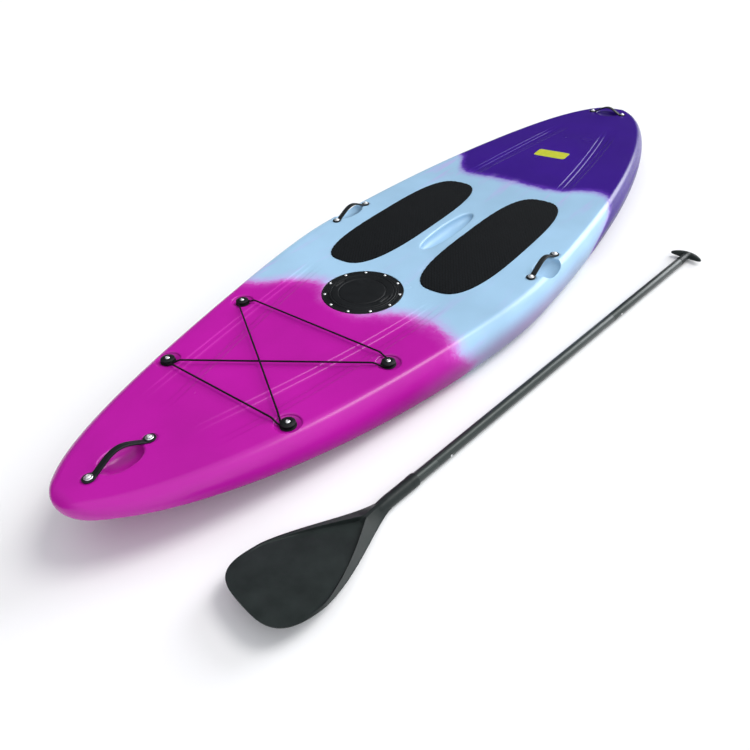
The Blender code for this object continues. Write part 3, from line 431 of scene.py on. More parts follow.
for side in (-1.0, 1.0):
    cutters.append(lipped_cutter("pad bed", 0.3950, 0.1150, 3.0,
                                 [(0.3, 0.0030), (0.9, 0.0030), (1.0003, 0.0030)], 0.0006,
                                 deck_frame(pad_x, side * pad_y), 160))
cutters.append(lipped_cutter("hatch bed", 0.1270, 0.1270, 2.0,
                             [(0.2, 0.0078), (0.9, 0.0078), (1.0003, 0.0078)], 0.0008,
                             deck_frame(hatch_x, 0.0), 144))
drain_rings = [level_ring(r, r, 2.0, 56, z)
               for r, z in ((0.0210, 0.0), (0.0226, 0.0006), (0.0230, 0.0015), (0.0230, 0.0800))]
cutters.append(put_shell("drain bed", placed(drain_rings, drain_matrix)))


def combine(piece, operation, tool):
    """Cuts a tool out of a piece, or joins it to it, when the modifiers are solved."""
    change = piece.modifiers.new(operation, "BOOLEAN")
    change.operation = operation
    change.solver = "EXACT"
    change.object = tool


def solve_modifiers(piece, finish):
    """Keeps what the modifiers make of a piece as its mesh, with one finish."""
    bpy.context.view_layer.update()
    made = bpy.data.meshes.new_from_object(piece.evaluated_get(bpy.context.evaluated_depsgraph_get()))
    piece.modifiers.clear()
    piece.data = made
    made.materials.clear()
    made.materials.append(finish)


def cut_and_apply(piece, tools, finish):
    """Cuts tools that don't touch each other out of a piece in one go."""
    gathered = bmesh.new()
    for tool in tools:
        gathered.from_mesh(tool.data)
        bpy.data.objects.remove(tool, do_unlink=True)
    tool_mesh = bpy.data.meshes.new("tools")
    gathered.to_mesh(tool_mesh)
    gathered.free()
    tool = bpy.data.objects.new("tools", tool_mesh)
    bpy.context.scene.collection.objects.link(tool)
    combine(piece, "DIFFERENCE", tool)
    solve_modifiers(piece, finish)
    bpy.data.objects.remove(tool, do_unlink=True)


def noise(tree, place, scale, detail=2.0, roughness=0.5, distortion=0.0):
    """A noise from 0 to 1, with as many finer layers as the detail says."""
    return add_node(tree, "ShaderNodeTexNoise", Vector=place, Scale=scale, Detail=detail, Roughness=roughness,
                    Distortion=distortion).outputs["Fac"]


def emboss(tree, shader, strength, distance, height):
    """Shades the surface as if a pattern of heights were pressed into it."""
    bump = add_node(tree, "ShaderNodeBump", Strength=strength, Distance=distance, Height=height)
    feed(tree, shader, Normal=bump.outputs["Normal"])


hull_finish, hull_tree, hull_shader = plain_material("rotomoulded polyethylene", (0.38, 0.62, 0.84), 0.30)
hull_place = hull_tree.nodes.new("ShaderNodeTexCoord").outputs["Object"]
hull_parts = add_node(hull_tree, "ShaderNodeSeparateXYZ", Vector=hull_place)
hull_x, hull_y, hull_z = (hull_parts.outputs[k] for k in "XYZ")
swirl = noise(hull_tree, hull_place, 5.5, 4.0, 0.62, 0.6)
wisps = noise(hull_tree, hull_place, 34.0, 5.0, 0.7, 1.2)


def colour_front(tree, y, x, knots, sense, reach, swirl_reach, wisp_reach):
    """How far a point lies past the line where two powders met, from 0 to 1 over the reach.

    The line is x = f(y), a smooth curve through a few knots, shifted by two noises.
    """
    side = 0.46
    line = add_node(tree, "ShaderNodeFloatCurve", Value=remap(tree, y, -side, side))
    curve = line.mapping.curves[0]
    low = min(v for _, v in knots) - 0.1
    high = max(v for _, v in knots) + 0.1
    while len(curve.points) < len(knots):
        curve.points.new(0.5, 0.5)
    for point, (at_y, at_x) in zip(curve.points, knots):
        point.location = ((at_y + side) / (2.0 * side), (at_x - low) / (high - low))
    line.mapping.update()
    shift = compute(tree, "SUBTRACT", x, remap(tree, line.outputs["Value"], 0.0, 1.0, low, high))
    way = compute(tree, "MULTIPLY", shift, sense)
    broad = compute(tree, "MULTIPLY_ADD", swirl, swirl_reach, way)
    fine = compute(tree, "MULTIPLY_ADD", wisps, wisp_reach, broad)
    centre = 0.5 * (swirl_reach + wisp_reach)
    return remap(tree, fine, centre - 0.5 * reach, centre + 0.5 * reach, kind="SMOOTHERSTEP")


low_side = remap(hull_tree, hull_z, 0.135, 0.060, kind="SMOOTHSTEP")
port_side = remap(hull_tree, hull_y, 0.36, 0.46)
haze = compute(hull_tree, "MULTIPLY", low_side, port_side)
pink_x = compute(hull_tree, "MULTIPLY_ADD", haze, 0.16, hull_x)
violet_x = compute(hull_tree, "MULTIPLY_ADD", low_side, -0.16, hull_x)
pink_knots = ((-0.46, 0.800), (-0.30, 0.700), (-0.155, 0.610), (-0.07, 0.645), (0.038, 0.680),
              (0.137, 0.645), (0.24, 0.610), (0.375, 0.660), (0.46, 0.740))
violet_knots = ((-0.46, -0.660), (-0.355, -0.613), (-0.223, -0.446), (-0.071, -0.456), (0.167, -0.449),
                (0.333, -0.514), (0.40, -0.430), (0.46, -0.330))
pink_part = colour_front(hull_tree, hull_y, pink_x, pink_knots, 1.0, 0.150, 0.060, 0.045)
violet_part = colour_front(hull_tree, hull_y, violet_x, violet_knots, -1.0, 0.120, 0.060, 0.045)


def colour_ramp(tree, factor, stops):
    """A ramp through the given (place, colour) stops."""
    ramp = add_node(tree, "ShaderNodeValToRGB", Fac=factor)
    elements = ramp.color_ramp.elements
    while len(elements) < len(stops):
        elements.new(0.5)
    for element, (place, colour) in zip(elements, stops):
        element.position = place
        element.color = (*colour, 1.0)
    return ramp.outputs["Color"]


blue_powder = (0.350, 0.555, 0.745)
pink_stops = ((0.0, blue_powder), (0.30, (0.45, 0.43, 0.73)), (0.55, (0.55, 0.19, 0.58)),
              (0.75, (0.52, 0.040, 0.41)), (1.0, (0.445, 0.008, 0.325)))
violet_stops = ((0.0, blue_powder), (0.35, (0.33, 0.31, 0.67)), (0.65, (0.100, 0.028, 0.38)),
                (1.0, (0.036, 0.005, 0.225)))
pink_colour = colour_ramp(hull_tree, pink_part, pink_stops)
violet_colour = colour_ramp(hull_tree, violet_part, violet_stops)
stern_part = compute(hull_tree, "LESS_THAN", hull_x, 0.05)
hull_colour = mix(hull_tree, "RGBA", stern_part, pink_colour, violet_colour)
blush_x = remap(hull_tree, hull_x, -0.45, 0.60, 0.0, 0.75, kind="SMOOTHSTEP")
blush = compute(hull_tree, "MULTIPLY", haze, blush_x)
blushed = mix(hull_tree, "RGBA", blush, hull_colour, (0.47, 0.20, 0.47, 1.0))
drawn = add_node(hull_tree, "ShaderNodeMapping", Vector=hull_place, Scale=(2.4, 15.0, 9.0))
streak = noise(hull_tree, drawn.outputs[0], 1.0, 4.0, 0.6, 0.4)
streak_pale = remap(hull_tree, streak, 0.50, 0.72, 0.0, 0.75, kind="SMOOTHSTEP")
near_pink = remap(hull_tree, hull_x, 0.25, 0.62)
near_violet = remap(hull_tree, hull_x, -0.15, -0.42)
near_front = compute(hull_tree, "ADD", near_pink, near_violet)
both_parts = compute(hull_tree, "ADD", pink_part, violet_part, clamped=True)
blue_part = compute(hull_tree, "SUBTRACT", 1.0, both_parts)
blue_streak = compute(hull_tree, "MULTIPLY", blue_part, streak_pale)
streak_share = compute(hull_tree, "MULTIPLY", blue_streak, near_front)
streaked = mix(hull_tree, "RGBA", streak_share, blushed, (0.50, 0.40, 0.78, 1.0))
cloud = noise(hull_tree, hull_place, 3.0, 3.0, 0.55)
cloud_light = remap(hull_tree, cloud, 0.3, 0.7, 0.90, 1.08)
speck = noise(hull_tree, hull_place, 900.0, 2.0, 0.6)
speck_light = remap(hull_tree, speck, 0.25, 0.75, 0.94, 1.06)
mottle = compute(hull_tree, "MULTIPLY", cloud_light, speck_light)
# Painted shade: the hull's colour is darkened to 62 % towards the bottom of the sides, on top of the random
# mottle.
painted_low_side_shade = remap(hull_tree, hull_z, 0.130, 0.040, 1.0, 0.62, kind="SMOOTHSTEP")
mottle_and_painted_shade = compute(hull_tree, "MULTIPLY", mottle, painted_low_side_shade)
side_sheen = remap(hull_tree, hull_z, 0.150, 0.110, 0.36, 0.03, kind="SMOOTHSTEP")
hull_tint = add_node(hull_tree, "ShaderNodeVectorMath", {"operation": "SCALE"}, Vector=streaked,
                     Scale=mottle_and_painted_shade)
scuff = noise(hull_tree, hull_place, 7.0)
hull_gloss = remap(hull_tree, scuff, 0.0, 1.0, 0.20, 0.30)
feed(hull_tree, hull_shader, Base_Color=hull_tint.outputs["Vector"], Roughness=hull_gloss,
     Specular_IOR_Level=side_sheen)
peel = noise(hull_tree, hull_place, 260.0, 3.0)
ripple = noise(hull_tree, hull_place, 22.0)
peel_mix = compute(hull_tree, "MULTIPLY_ADD", ripple, 2.5, peel)
emboss(hull_tree, hull_shader, 0.30, 0.00022, peel_mix)

for cutter in cutters:
    cut_and_apply(hull_piece, [cutter], hull_finish)

# The hold under the hatch: one tool for the room inside, and holes through the deck and tail
hold_end, wall_side, wall_floor, hold_top = 1.15, 0.012, 0.0045, 0.108
hold_stations = np.linspace(-hold_end, hold_end, 40)[:, None]
hold_turn = np.linspace(0.0, 2.0 * math.pi, 41)[:-1][None, :]
hold_taper = np.clip(1.0 - (hold_stations / (hold_end + 0.01)) ** 8, 0.02, 1.0) ** 0.5
hold_half = (half_beam(hold_stations) - wall_side) * hold_taper
hold_low = keel_height(hold_stations) + wall_floor
hold_c, hold_s = np.cos(hold_turn), np.sin(hold_turn)
hold_y = hold_half * np.sign(hold_c) * np.abs(hold_c) ** 0.4
hold_z = (hold_low + hold_top) / 2.0 + (hold_top - hold_low) / 2.0 * np.sign(hold_s) * np.abs(hold_s) ** 0.4
hold_rings = np.stack([np.broadcast_to(hold_stations, hold_y.shape), hold_y, hold_z], axis=2)
hold = put_shell("hold", hold_rings)
attic_rings = [level_ring(0.23 * s, 0.20 * s, 4.0, 64, z)
               for s, z in ((0.97, 0.095), (1.0, 0.100), (1.0, 0.1385), (0.985, 0.1410), (0.96, 0.1418))]
attic = put_shell("attic", placed(attic_rings, moved(0.500)))
cut_and_apply(hull_piece, [hold], hull_finish)
cut_and_apply(hull_piece, [attic], hull_finish)


def drill(name, radius, low, high, matrix, count=32):
    """A round tool between two heights of a frame."""
    rings = [level_ring(radius, radius, 2.0, count, z) for z in (low, high)]
    return put_shell(name, placed(rings, matrix))


below, above = -0.035, 0.02
screw_hole = 0.0031
through = [drill("hatch hole", 0.1035, below, above, deck_frame(hatch_x, 0.0), 96),
           drill("drain hole", 0.0093, below, above, drain_matrix)]
for x, y in button_spots.values():
    through.append(drill("button hole", screw_hole, below, above, deck_frame(x, y), 16))
for matrix, span in handle_spots.values():
    for side in (-1.0, 1.0):
        through.append(drill("handle hole", screw_hole, below, above, matrix @ moved(side * span), 16))
cut_and_apply(hull_piece, through, hull_finish)
hull_piece.data.set_sharp_from_angle(angle=math.radians(32.0))
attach(hull_piece, "hull")
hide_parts("hull")


# Foot pads
# Two sheets of closed-cell foam, die cut with a wavy edge and glued into shallow beds. The top
# is pressed with crossing grooves that leave small diamonds, so that wet feet don't slip.
def pad_rings(half_x, half_y, thickness, count):
    """Rings of a superellipse whose radius ripples, r (1 - k (1 - cos n t) / 2), from the middle out."""
    turn = round_steps(count)
    ripple = 1.0 - 0.0065 * (0.5 - 0.5 * np.cos(54.0 * turn))
    edge = oval(half_x, half_y, 3.0, count)
    rings = []
    for share in np.linspace(0.03, 0.97, 14):
        wavy = edge * share * (1.0 + (ripple[:, None] - 1.0) * share ** 8)
        rings.append(np.column_stack([wavy, np.full(count, thickness)]))
    for share, height in ((0.990, 1.0), (0.9945, 0.985), (0.998, 0.94), (1.0, 0.84), (1.0, 0.45), (1.0, 0.0)):
        rings.append(np.column_stack([edge * share * ripple[:, None], np.full(count, thickness * height)]))
    for share in (0.90, 0.40, 0.05):
        rings.append(np.column_stack([edge * share, np.full(count, 0.0)]))
    return rings


foam_finish, foam_tree, foam_shader = plain_material("diamond pressed foam", (0.007, 0.009, 0.011), 0.88,
                                                     Specular_IOR_Level=0.12)
foam_place = foam_tree.nodes.new("ShaderNodeTexCoord").outputs["Object"]
foam_grooves = []
groove_pitch = 0.0088
for slant in (32.0, -32.0):
    turned = add_node(foam_tree, "ShaderNodeMapping", Vector=foam_place,
                      Rotation=(0.0, 0.0, math.radians(slant)))
    waves = add_node(foam_tree, "ShaderNodeTexWave", {"bands_direction": "Y"}, Vector=turned.outputs[0],
                     Scale=0.314 / groove_pitch)
    foam_grooves.append(waves.outputs["Fac"])
foam_cross = compute(foam_tree, "MINIMUM", foam_grooves[0], foam_grooves[1])
foam_press = remap(foam_tree, foam_cross, 0.02, 0.28, kind="SMOOTHSTEP")
foam_grain = noise(foam_tree, foam_place, 1400.0)
foam_height = compute(foam_tree, "MULTIPLY_ADD", foam_grain, 0.10, foam_press)
emboss(foam_tree, foam_shader, 1.0, 0.0011, foam_height)
foam_dust = noise(foam_tree, foam_place, 9.0, 6.0, 0.7)
# Painted shade: the pressed grooves are painted darker than the diamonds between them; the dust noise adds a
# random tone.
foam_dust_and_painted_groove_shade = compute(foam_tree, "MULTIPLY_ADD", foam_dust, 0.5, foam_press)
foam_shade = remap(foam_tree, foam_dust_and_painted_groove_shade, 0.0, 1.5)
foam_colour = colour_ramp(foam_tree, foam_shade, ((0.0, (0.001, 0.001, 0.001)), (0.5, (0.003, 0.004, 0.005)),
                                                  (1.0, (0.008, 0.010, 0.012))))
feed(foam_tree, foam_shader, Base_Color=foam_colour)

pad_floor = 0.1473
for pad_name, side in (("port_foot_pad", 1.0), ("starboard_foot_pad", -1.0)):
    rings = placed(pad_rings(0.3948, 0.1148, 0.0055, 432), moved(pad_x, side * pad_y, pad_floor))
    pad = put_shell(pad_name + "_foam", rings, foam_finish, 60.0)
    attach(pad, "hull")
    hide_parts(pad_name)


# Hatch
# A black nylon ring, screwed down on a rubber gasket with eleven steel screws, holds a round lid
# that turns a quarter and lifts off. Both are injection moulded, with a fine grain on the top.
def turned_shell(name, profile, matrix, finish, count=144, closed=False):
    """A profile of (radius, height) turned round local z.

    A closed profile, whose last point is its first, makes a ring.
    """
    profile = np.asarray(profile[:-1] if closed else profile, float)
    turn = round_steps(count)
    x = profile[:, 0:1] * np.cos(turn)[None, :]
    y = profile[:, 0:1] * np.sin(turn)[None, :]
    z = np.broadcast_to(profile[:, 1:2], x.shape)
    rings = placed(np.stack([x, y, z], axis=2), matrix)
    if not closed:
        return put_shell(name, rings, finish)
    return put_mesh(name, rings, grid_faces(len(profile), count, True), finish)


def eased(corners, radius, steps=3):
    """Corners of a profile, each rounded by a quadratic curve that starts a radius before it."""
    corners = np.asarray(corners, float)
    out = [corners[0]]
    for before, here, after in zip(corners[:-2], corners[1:-1], corners[2:]):
        back, on = before - here, after - here
        reach = min(radius, 0.45 * np.linalg.norm(back), 0.45 * np.linalg.norm(on))
        start = here + back / np.linalg.norm(back) * reach
        end = here + on / np.linalg.norm(on) * reach
        for t in np.linspace(0.0, 1.0, steps + 1):
            out.append((1.0 - t) ** 2 * start + 2.0 * t * (1.0 - t) * here + t * t * end)
    out.append(corners[-1])
    return np.array(out)


def weathered(tree, shader, pattern, dark, light, glossiest, dullest):
    """Colour and roughness that both wander with a noise."""
    feed(tree, shader, Base_Color=colour_ramp(tree, pattern, ((0.3, dark), (0.7, light))),
         Roughness=remap(tree, pattern, 0.3, 0.7, glossiest, dullest))


def moulded_black(name, colour, roughness, grain_scale, grain_depth):
    """Black moulded nylon: a fine spark-eroded grain, faint clouding, and gloss that wanders a little."""
    made, tree, shader = plain_material(name, colour, roughness, Specular_IOR_Level=0.24)
    place = tree.nodes.new("ShaderNodeTexCoord").outputs["Object"]
    grain = noise(tree, place, grain_scale, 3.0, 0.6)
    emboss(tree, shader, 0.6, grain_depth, grain)
    cloudy = noise(tree, place, 16.0, 5.0, 0.65)
    weathered(tree, shader, cloudy, tuple(0.80 * c for c in colour), tuple(1.30 * c for c in colour),
              roughness - 0.06, roughness + 0.08)
    return made


def recolour(node_name, finish):
    """Gives a finish to one of the frame's own solids."""
    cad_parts[node_name].data.materials.clear()
    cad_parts[node_name].data.materials.append(finish)


nylon_finish = moulded_black("grained black nylon", (0.004, 0.005, 0.006), 0.48, 900.0, 0.00010)
rubber_finish = moulded_black("black rubber", (0.007, 0.007, 0.008), 0.72, 500.0, 0.00008)

hatch_matrix = moved(hatch_x, 0.0, 0.1425)
ring_profile = eased([(0.1027, -0.0225), (0.1066, -0.0225), (0.1066, 0.0015), (0.1270, 0.0015),
                      (0.1270, 0.0056), (0.1248, 0.0075), (0.1232, 0.0075), (0.1224, 0.0069),
                      (0.1112, 0.0069), (0.1104, 0.0075), (0.1058, 0.0075), (0.1058, -0.0010),
                      (0.1027, -0.0010), (0.1027, -0.0225)], 0.0006)
hatch_ring = turned_shell("hatch_ring_moulding", ring_profile, hatch_matrix, nylon_finish, closed=True)
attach(hatch_ring, "hull")
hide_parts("hatch_ring")
lid_profile = eased([(0.0, 0.0015), (0.0982, 0.0015), (0.0982, -0.0135), (0.1017, -0.0135), (0.1017, 0.0015),
                     (0.1052, 0.0015), (0.1052, 0.0073), (0.1036, 0.0085), (0.0985, 0.0085), (0.0978, 0.0078),
                     (0.0955, 0.0078), (0.0948, 0.0085), (0.0760, 0.0085), (0.0748, 0.0074), (0.0712, 0.0074),
                     (0.0700, 0.0085), (0.0, 0.0085)], 0.0006)
lid_profile = lid_profile[lid_profile[:, 0] > 1e-4]
hatch_lid = turned_shell("hatch_lid_moulding", lid_profile, hatch_matrix, None)
grips = []
for side in (-1.0, 1.0):
    grips.append(lipped_cutter("finger well", 0.0225, 0.0055, 2.6, bowl_floor(0.0040, 0.0010), 0.0010,
                               hatch_matrix @ moved(0.0, side * 0.0860, 0.0085), 48))
cut_and_apply(hatch_lid, grips, nylon_finish)
hatch_lid.data.set_sharp_from_angle(angle=math.radians(32.0))
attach(hatch_lid, "hatch_lid")
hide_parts("hatch_lid")
for name in ("hatch_gasket", "hatch_lid_seal"):
    recolour(name, rubber_finish)


# Screws and washers
# Stainless pan heads with a cross recess. The small ones hold the hatch ring; the large ones
# hold the buttons, and the handles through cup washers pressed from sheet.
steel_finish, steel_tree, steel_shader = plain_material("stainless steel", (0.80, 0.81, 0.81), 0.30,
                                                        Metallic=1.0)
steel_place = steel_tree.nodes.new("ShaderNodeTexCoord").outputs["Object"]
steel_wear = noise(steel_tree, steel_place, 420.0, 4.0, 0.6)
weathered(steel_tree, steel_shader, steel_wear, (0.72, 0.73, 0.74), (0.86, 0.87, 0.87), 0.24, 0.44)


def pan_screw(name, node, matrix, head, height, shank, length):
    """Head z = h (1 - (r/R)^2.6)^0.6 less a cross recess, then under the head and down the shank."""
    count = 64
    turn = round_steps(count) + math.radians(20.0)
    radii = np.array([0.02, 0.10, 0.17, 0.22, 0.28, 0.36, 0.44, 0.52,
                      0.57, 0.62, 0.70, 0.80, 0.88, 0.94, 0.98, 1.0])[:, None]
    x, y = radii * np.cos(turn)[None, :], radii * np.sin(turn)[None, :]
    dome = (1.0 - radii ** 2.6 * 0.995) ** 0.6 + 0.0 * x
    arm = np.maximum(smooth((0.15 - np.abs(x)) / 0.07) * smooth((0.60 - np.abs(y)) / 0.12),
                     smooth((0.15 - np.abs(y)) / 0.07) * smooth((0.60 - np.abs(x)) / 0.12))
    top = np.stack([x * head, y * head, height * (dome - 0.62 * arm * (1.0 - 0.35 * radii))], axis=2)
    tail = np.array([(shank, 0.0), (shank, -length + shank), (0.5 * shank, -length)])
    low = np.stack([tail[:, 0:1] * np.cos(turn)[None, :], tail[:, 0:1] * np.sin(turn)[None, :],
                    np.broadcast_to(tail[:, 1:2], (3, count))], axis=2)
    rings = placed(np.concatenate([top, low]), matrix)
    made = put_shell(name, rings, steel_finish, 40.0)
    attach(made, "hull")
    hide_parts(node)


seat_gap = 0.0003
screw_count, screw_circle, ring_seat = 11, 0.1165, 0.0069
for k in range(screw_count):
    angle = math.radians(16.0 + 360.0 * k / screw_count)
    seat = hatch_matrix @ moved(screw_circle * math.cos(angle), screw_circle * math.sin(angle),
                                ring_seat + seat_gap)
    pan_screw("hatch_pan_screw_%02d" % (k + 1), "hatch_screw_%02d" % (k + 1), seat @ spun(1.7 * k),
              0.0046, 0.0025, 0.0020, 0.0140)


# Deck buttons
# Four black nylon buttons, each bolted into a dish in the deck. The bungee runs round the
# narrow neck between the base and the rounded cap.
large_screw = (0.0067, 0.0038, 0.0027, 0.0195)
button_seat = 0.0038
button_profile = eased([(0.0006, -0.0082), (0.0208, -0.0082), (0.0210, -0.0060), (0.0116, -0.0047),
                        (0.0116, 0.0012), (0.0190, 0.0013), (0.0186, 0.0035), (0.0108, 0.0062),
                        (0.0076, 0.0063), (0.0076, button_seat), (0.0006, button_seat)], 0.0018, 4)
for label, (x, y) in button_spots.items():
    spot = deck_frame(x, y)
    button = turned_shell("deck_button_" + label + "_moulding", button_profile, spot, nylon_finish, 56)
    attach(button, "hull")
    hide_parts("deck_button_" + label)
    pan_screw("button_pan_screw_" + label, "button_screw_" + label,
              spot @ moved(0.0, 0.0, button_seat + seat_gap), *large_screw)


# Deck bungee
# One loop of braided shock cord. It turns round the necks of the four buttons, dips into their
# dishes, and crosses itself once over the middle of the deck.
bungee_radius = 0.0025
cord_gap = 0.0005
neck_radius = 0.0115
dish_floor, button_base = -0.0085, 0.0035
neck_wrap = neck_radius + cord_gap + bungee_radius
neck_level = dish_floor + seat_gap + button_base + cord_gap + bungee_radius
bungee_corners = np.array([button_spots["port_front"], button_spots["starboard_front"],
                           button_spots["port_rear"], button_spots["starboard_rear"]])
bungee_middle = bungee_corners.mean(axis=0)


def outward_normal(way, out):
    """The unit vector square to a way in the deck's plane, on the side that out points to."""
    way = way / np.linalg.norm(way)
    normal = np.array([-way[1], way[0]])
    return normal if normal @ out >= 0.0 else -normal


bungee_runs = []
for k in range(4):
    here, before, after = bungee_corners[k], bungee_corners[k - 1], bungee_corners[(k + 1) % 4]
    out = (here - bungee_middle) / np.linalg.norm(here - bungee_middle)
    away = math.atan2(out[1], out[0])
    ends = []
    for other in (before, after):
        normal = outward_normal(other - here, out)
        ends.append((math.atan2(normal[1], normal[0]) - away + math.pi) % (2.0 * math.pi) - math.pi)
    swing = away + np.linspace(ends[0], ends[1], 15)
    wrap_xy = here + neck_wrap * np.stack([np.cos(swing), np.sin(swing)], axis=1)
    bungee_runs.append(np.column_stack([wrap_xy, deck_height(wrap_xy[:, 0]) + neck_level]))
    out_after = after - bungee_middle
    start = here + neck_wrap * outward_normal(after - here, out)
    end = after + neck_wrap * outward_normal(here - after, out_after / np.linalg.norm(out_after))
    length = np.linalg.norm(end - start)
    along = length * (0.5 - 0.5 * np.cos(np.linspace(0.0, math.pi, 73)[1:-1]))
    share = (along / length)[:, None]
    run_xy = start * (1.0 - share) + end * share
    risen = smooth((np.minimum(along, length - along) - 0.75 * 0.0210) / 0.026)
    height = neck_level + (0.0090 - neck_level) * risen
    if k == 3:
        height = height + 0.0062 * np.sin(math.pi * along / length) ** 2
    chord = deck_height(start[0]) * (1.0 - share[:, 0]) + deck_height(end[0]) * share[:, 0]
    base = deck_height(run_xy[:, 0]) * (1.0 - risen) + chord * risen
    bungee_runs.append(np.column_stack([run_xy, base + height]))
bungee_path = np.concatenate(bungee_runs)


def cord_loop(name, path, radius, count, finish):
    """A round section carried round a closed path, with its run and its turn as the UV map."""
    tangent = np.roll(path, -1, axis=0) - np.roll(path, 1, axis=0)
    tangent = tangent / np.linalg.norm(tangent, axis=1)[:, None]
    side = np.cross(tangent, (0.0, 0.0, 1.0))
    side = side / np.linalg.norm(side, axis=1)[:, None]
    up = np.cross(side, tangent)
    lengths = np.linalg.norm(np.roll(path, -1, axis=0) - path, axis=1)
    run = np.concatenate([[0.0], np.cumsum(lengths)[:-1]])
    turn = round_steps(count)
    rings = path[:, None, :] + radius * (np.cos(turn)[None, :, None] * side[:, None, :]
                                         + np.sin(turn)[None, :, None] * up[:, None, :])
    uv = np.stack(np.broadcast_arrays(run[:, None], turn[None, :] / (2.0 * math.pi)), axis=2)
    return put_mesh(name, rings, grid_faces(len(path), count, True), finish, 60.0, uv=uv)


braid_finish, braid_tree, braid_shader = plain_material("braided cover", (0.007, 0.005, 0.007), 0.74,
                                                        Specular_IOR_Level=0.15)
braid_uv = add_node(braid_tree, "ShaderNodeUVMap", {"uv_map": "along"}).outputs["UV"]
braid_parts = add_node(braid_tree, "ShaderNodeSeparateXYZ", Vector=braid_uv)
braid_strands = []
braid_pitch = 0.0032
for way in (1.0, -1.0):
    lay = compute(braid_tree, "MULTIPLY", braid_parts.outputs["X"], way * 2.0 * math.pi / braid_pitch)
    bend = compute(braid_tree, "MULTIPLY_ADD", braid_parts.outputs["Y"], 2.0 * math.pi * 6.0, lay)
    braid_strands.append(compute(braid_tree, "SINE", bend))
braid_top = compute(braid_tree, "MAXIMUM", braid_strands[0], braid_strands[1])
emboss(braid_tree, braid_shader, 0.9, 0.0004, braid_top)
# Painted shade: the dips between the crossing strands are painted darker than the strand tops.
braid_painted_light = remap(braid_tree, braid_top, -0.6, 1.0)
braid_painted_shade = colour_ramp(braid_tree, braid_painted_light, ((0.0, (0.002, 0.001, 0.002)),
                                                    (1.0, (0.010, 0.007, 0.010))))
feed(braid_tree, braid_shader, Base_Color=braid_painted_shade)
bungee = cord_loop("deck_bungee_braid", bungee_path, bungee_radius, 14, braid_finish)
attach(bungee, "hull")
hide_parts("deck_bungee")


# Carry handles
# Four arched straps of black moulded rubber over webbing. Each ends in two round tabs that lie in
# shallow beds and are held down by a cup washer and a screw, over a scoop for the fingers.
def strap_surface(span, tab_radius, tab_thick, strap_width, strap_thick, arch):
    """Rounded sections along a strap.

    Half the width is the fourth-power mean of the tab's circle and the strap's own width, and
    the height is arch (1/2 + cos(pi t)/2)^0.65 over the part between the tabs.
    """
    end = span + tab_radius
    s = end * np.sin(np.linspace(-math.pi / 2.0, math.pi / 2.0, 97))[1:-1]
    s = 0.55 * s + 0.45 * np.linspace(-end, end, 97)[1:-1]
    arch_half = span - 0.85 * tab_radius
    circle = np.sqrt(np.clip(tab_radius ** 2 - (np.abs(s) - span) ** 2, 0.0, None))
    bar = 0.5 * strap_width * smooth((span - np.abs(s)) / (0.5 * tab_radius) + 0.3)
    half = (circle ** 5 + bar ** 5) ** 0.2
    share = np.clip(np.abs(s) / arch_half, 0.0, 1.0)
    lift = arch * (0.5 + 0.5 * np.cos(math.pi * share)) ** 0.65
    slope = np.gradient(lift, s)
    thick = tab_thick + (strap_thick - tab_thick) * smooth((arch_half - np.abs(s)) / 0.012)
    tip = smooth((end - np.abs(s)) / 0.0016 + 0.25)
    section = oval(1.0, 1.0, 3.6, 40)
    y = half[:, None] * section[None, :, 0]
    up = 0.5 * thick[:, None] * (1.0 + tip[:, None] * section[None, :, 1])
    tilt = np.arctan(slope)[:, None]
    x = s[:, None] - np.sin(tilt) * (up - 0.5 * thick[:, None])
    z = lift[:, None] + 0.5 * thick[:, None] + np.cos(tilt) * (up - 0.5 * thick[:, None])
    return np.stack([x, y, z], axis=2)


strap_finish = moulded_black("black moulded rubber strap", (0.006, 0.008, 0.009), 0.50, 650.0, 0.00012)
washer_profile = eased([(0.0031, 0.0), (0.0100, 0.0), (0.0100, 0.0007), (0.0090, 0.0017), (0.0078, 0.0018),
                        (0.0064, 0.0012), (0.0031, 0.0012), (0.0031, 0.0)], 0.0005)
tab_thickness, washer_height = 0.0045, 0.0018
tab_level = -0.0015 + seat_gap
for label, (matrix, span) in handle_spots.items():
    strap_sections = strap_surface(span, 0.0150, tab_thickness, 0.0170, 0.0060, 0.0260)
    strap_sections = placed(strap_sections, matrix @ moved(0.0, 0.0, tab_level))
    strap = put_shell(label + "_strap", strap_sections, None, 50.0)
    holes = []
    for end_name, side in (("a", -1.0), ("b", 1.0)):
        spot = matrix @ moved(side * span, 0.0, tab_level)
        holes.append(drill("strap hole", screw_hole, -0.004, 0.02, spot, 24))
        on_tab = spot @ moved(0.0, 0.0, tab_thickness + seat_gap)
        washer = turned_shell("%s_cup_washer_%s" % (label, end_name), washer_profile, on_tab, steel_finish,
                              64, True)
        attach(washer, "hull")
        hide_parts("%s_washer_%s" % (label, end_name))
        pan_screw("%s_pan_screw_%s" % (label, end_name), "%s_screw_%s" % (label, end_name),
                  on_tab @ moved(0.0, 0.0, washer_height + seat_gap), *large_screw)
    cut_and_apply(strap, holes, strap_finish)
    strap.data.set_sharp_from_angle(angle=math.radians(50.0))
    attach(strap, "hull")
    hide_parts(label)


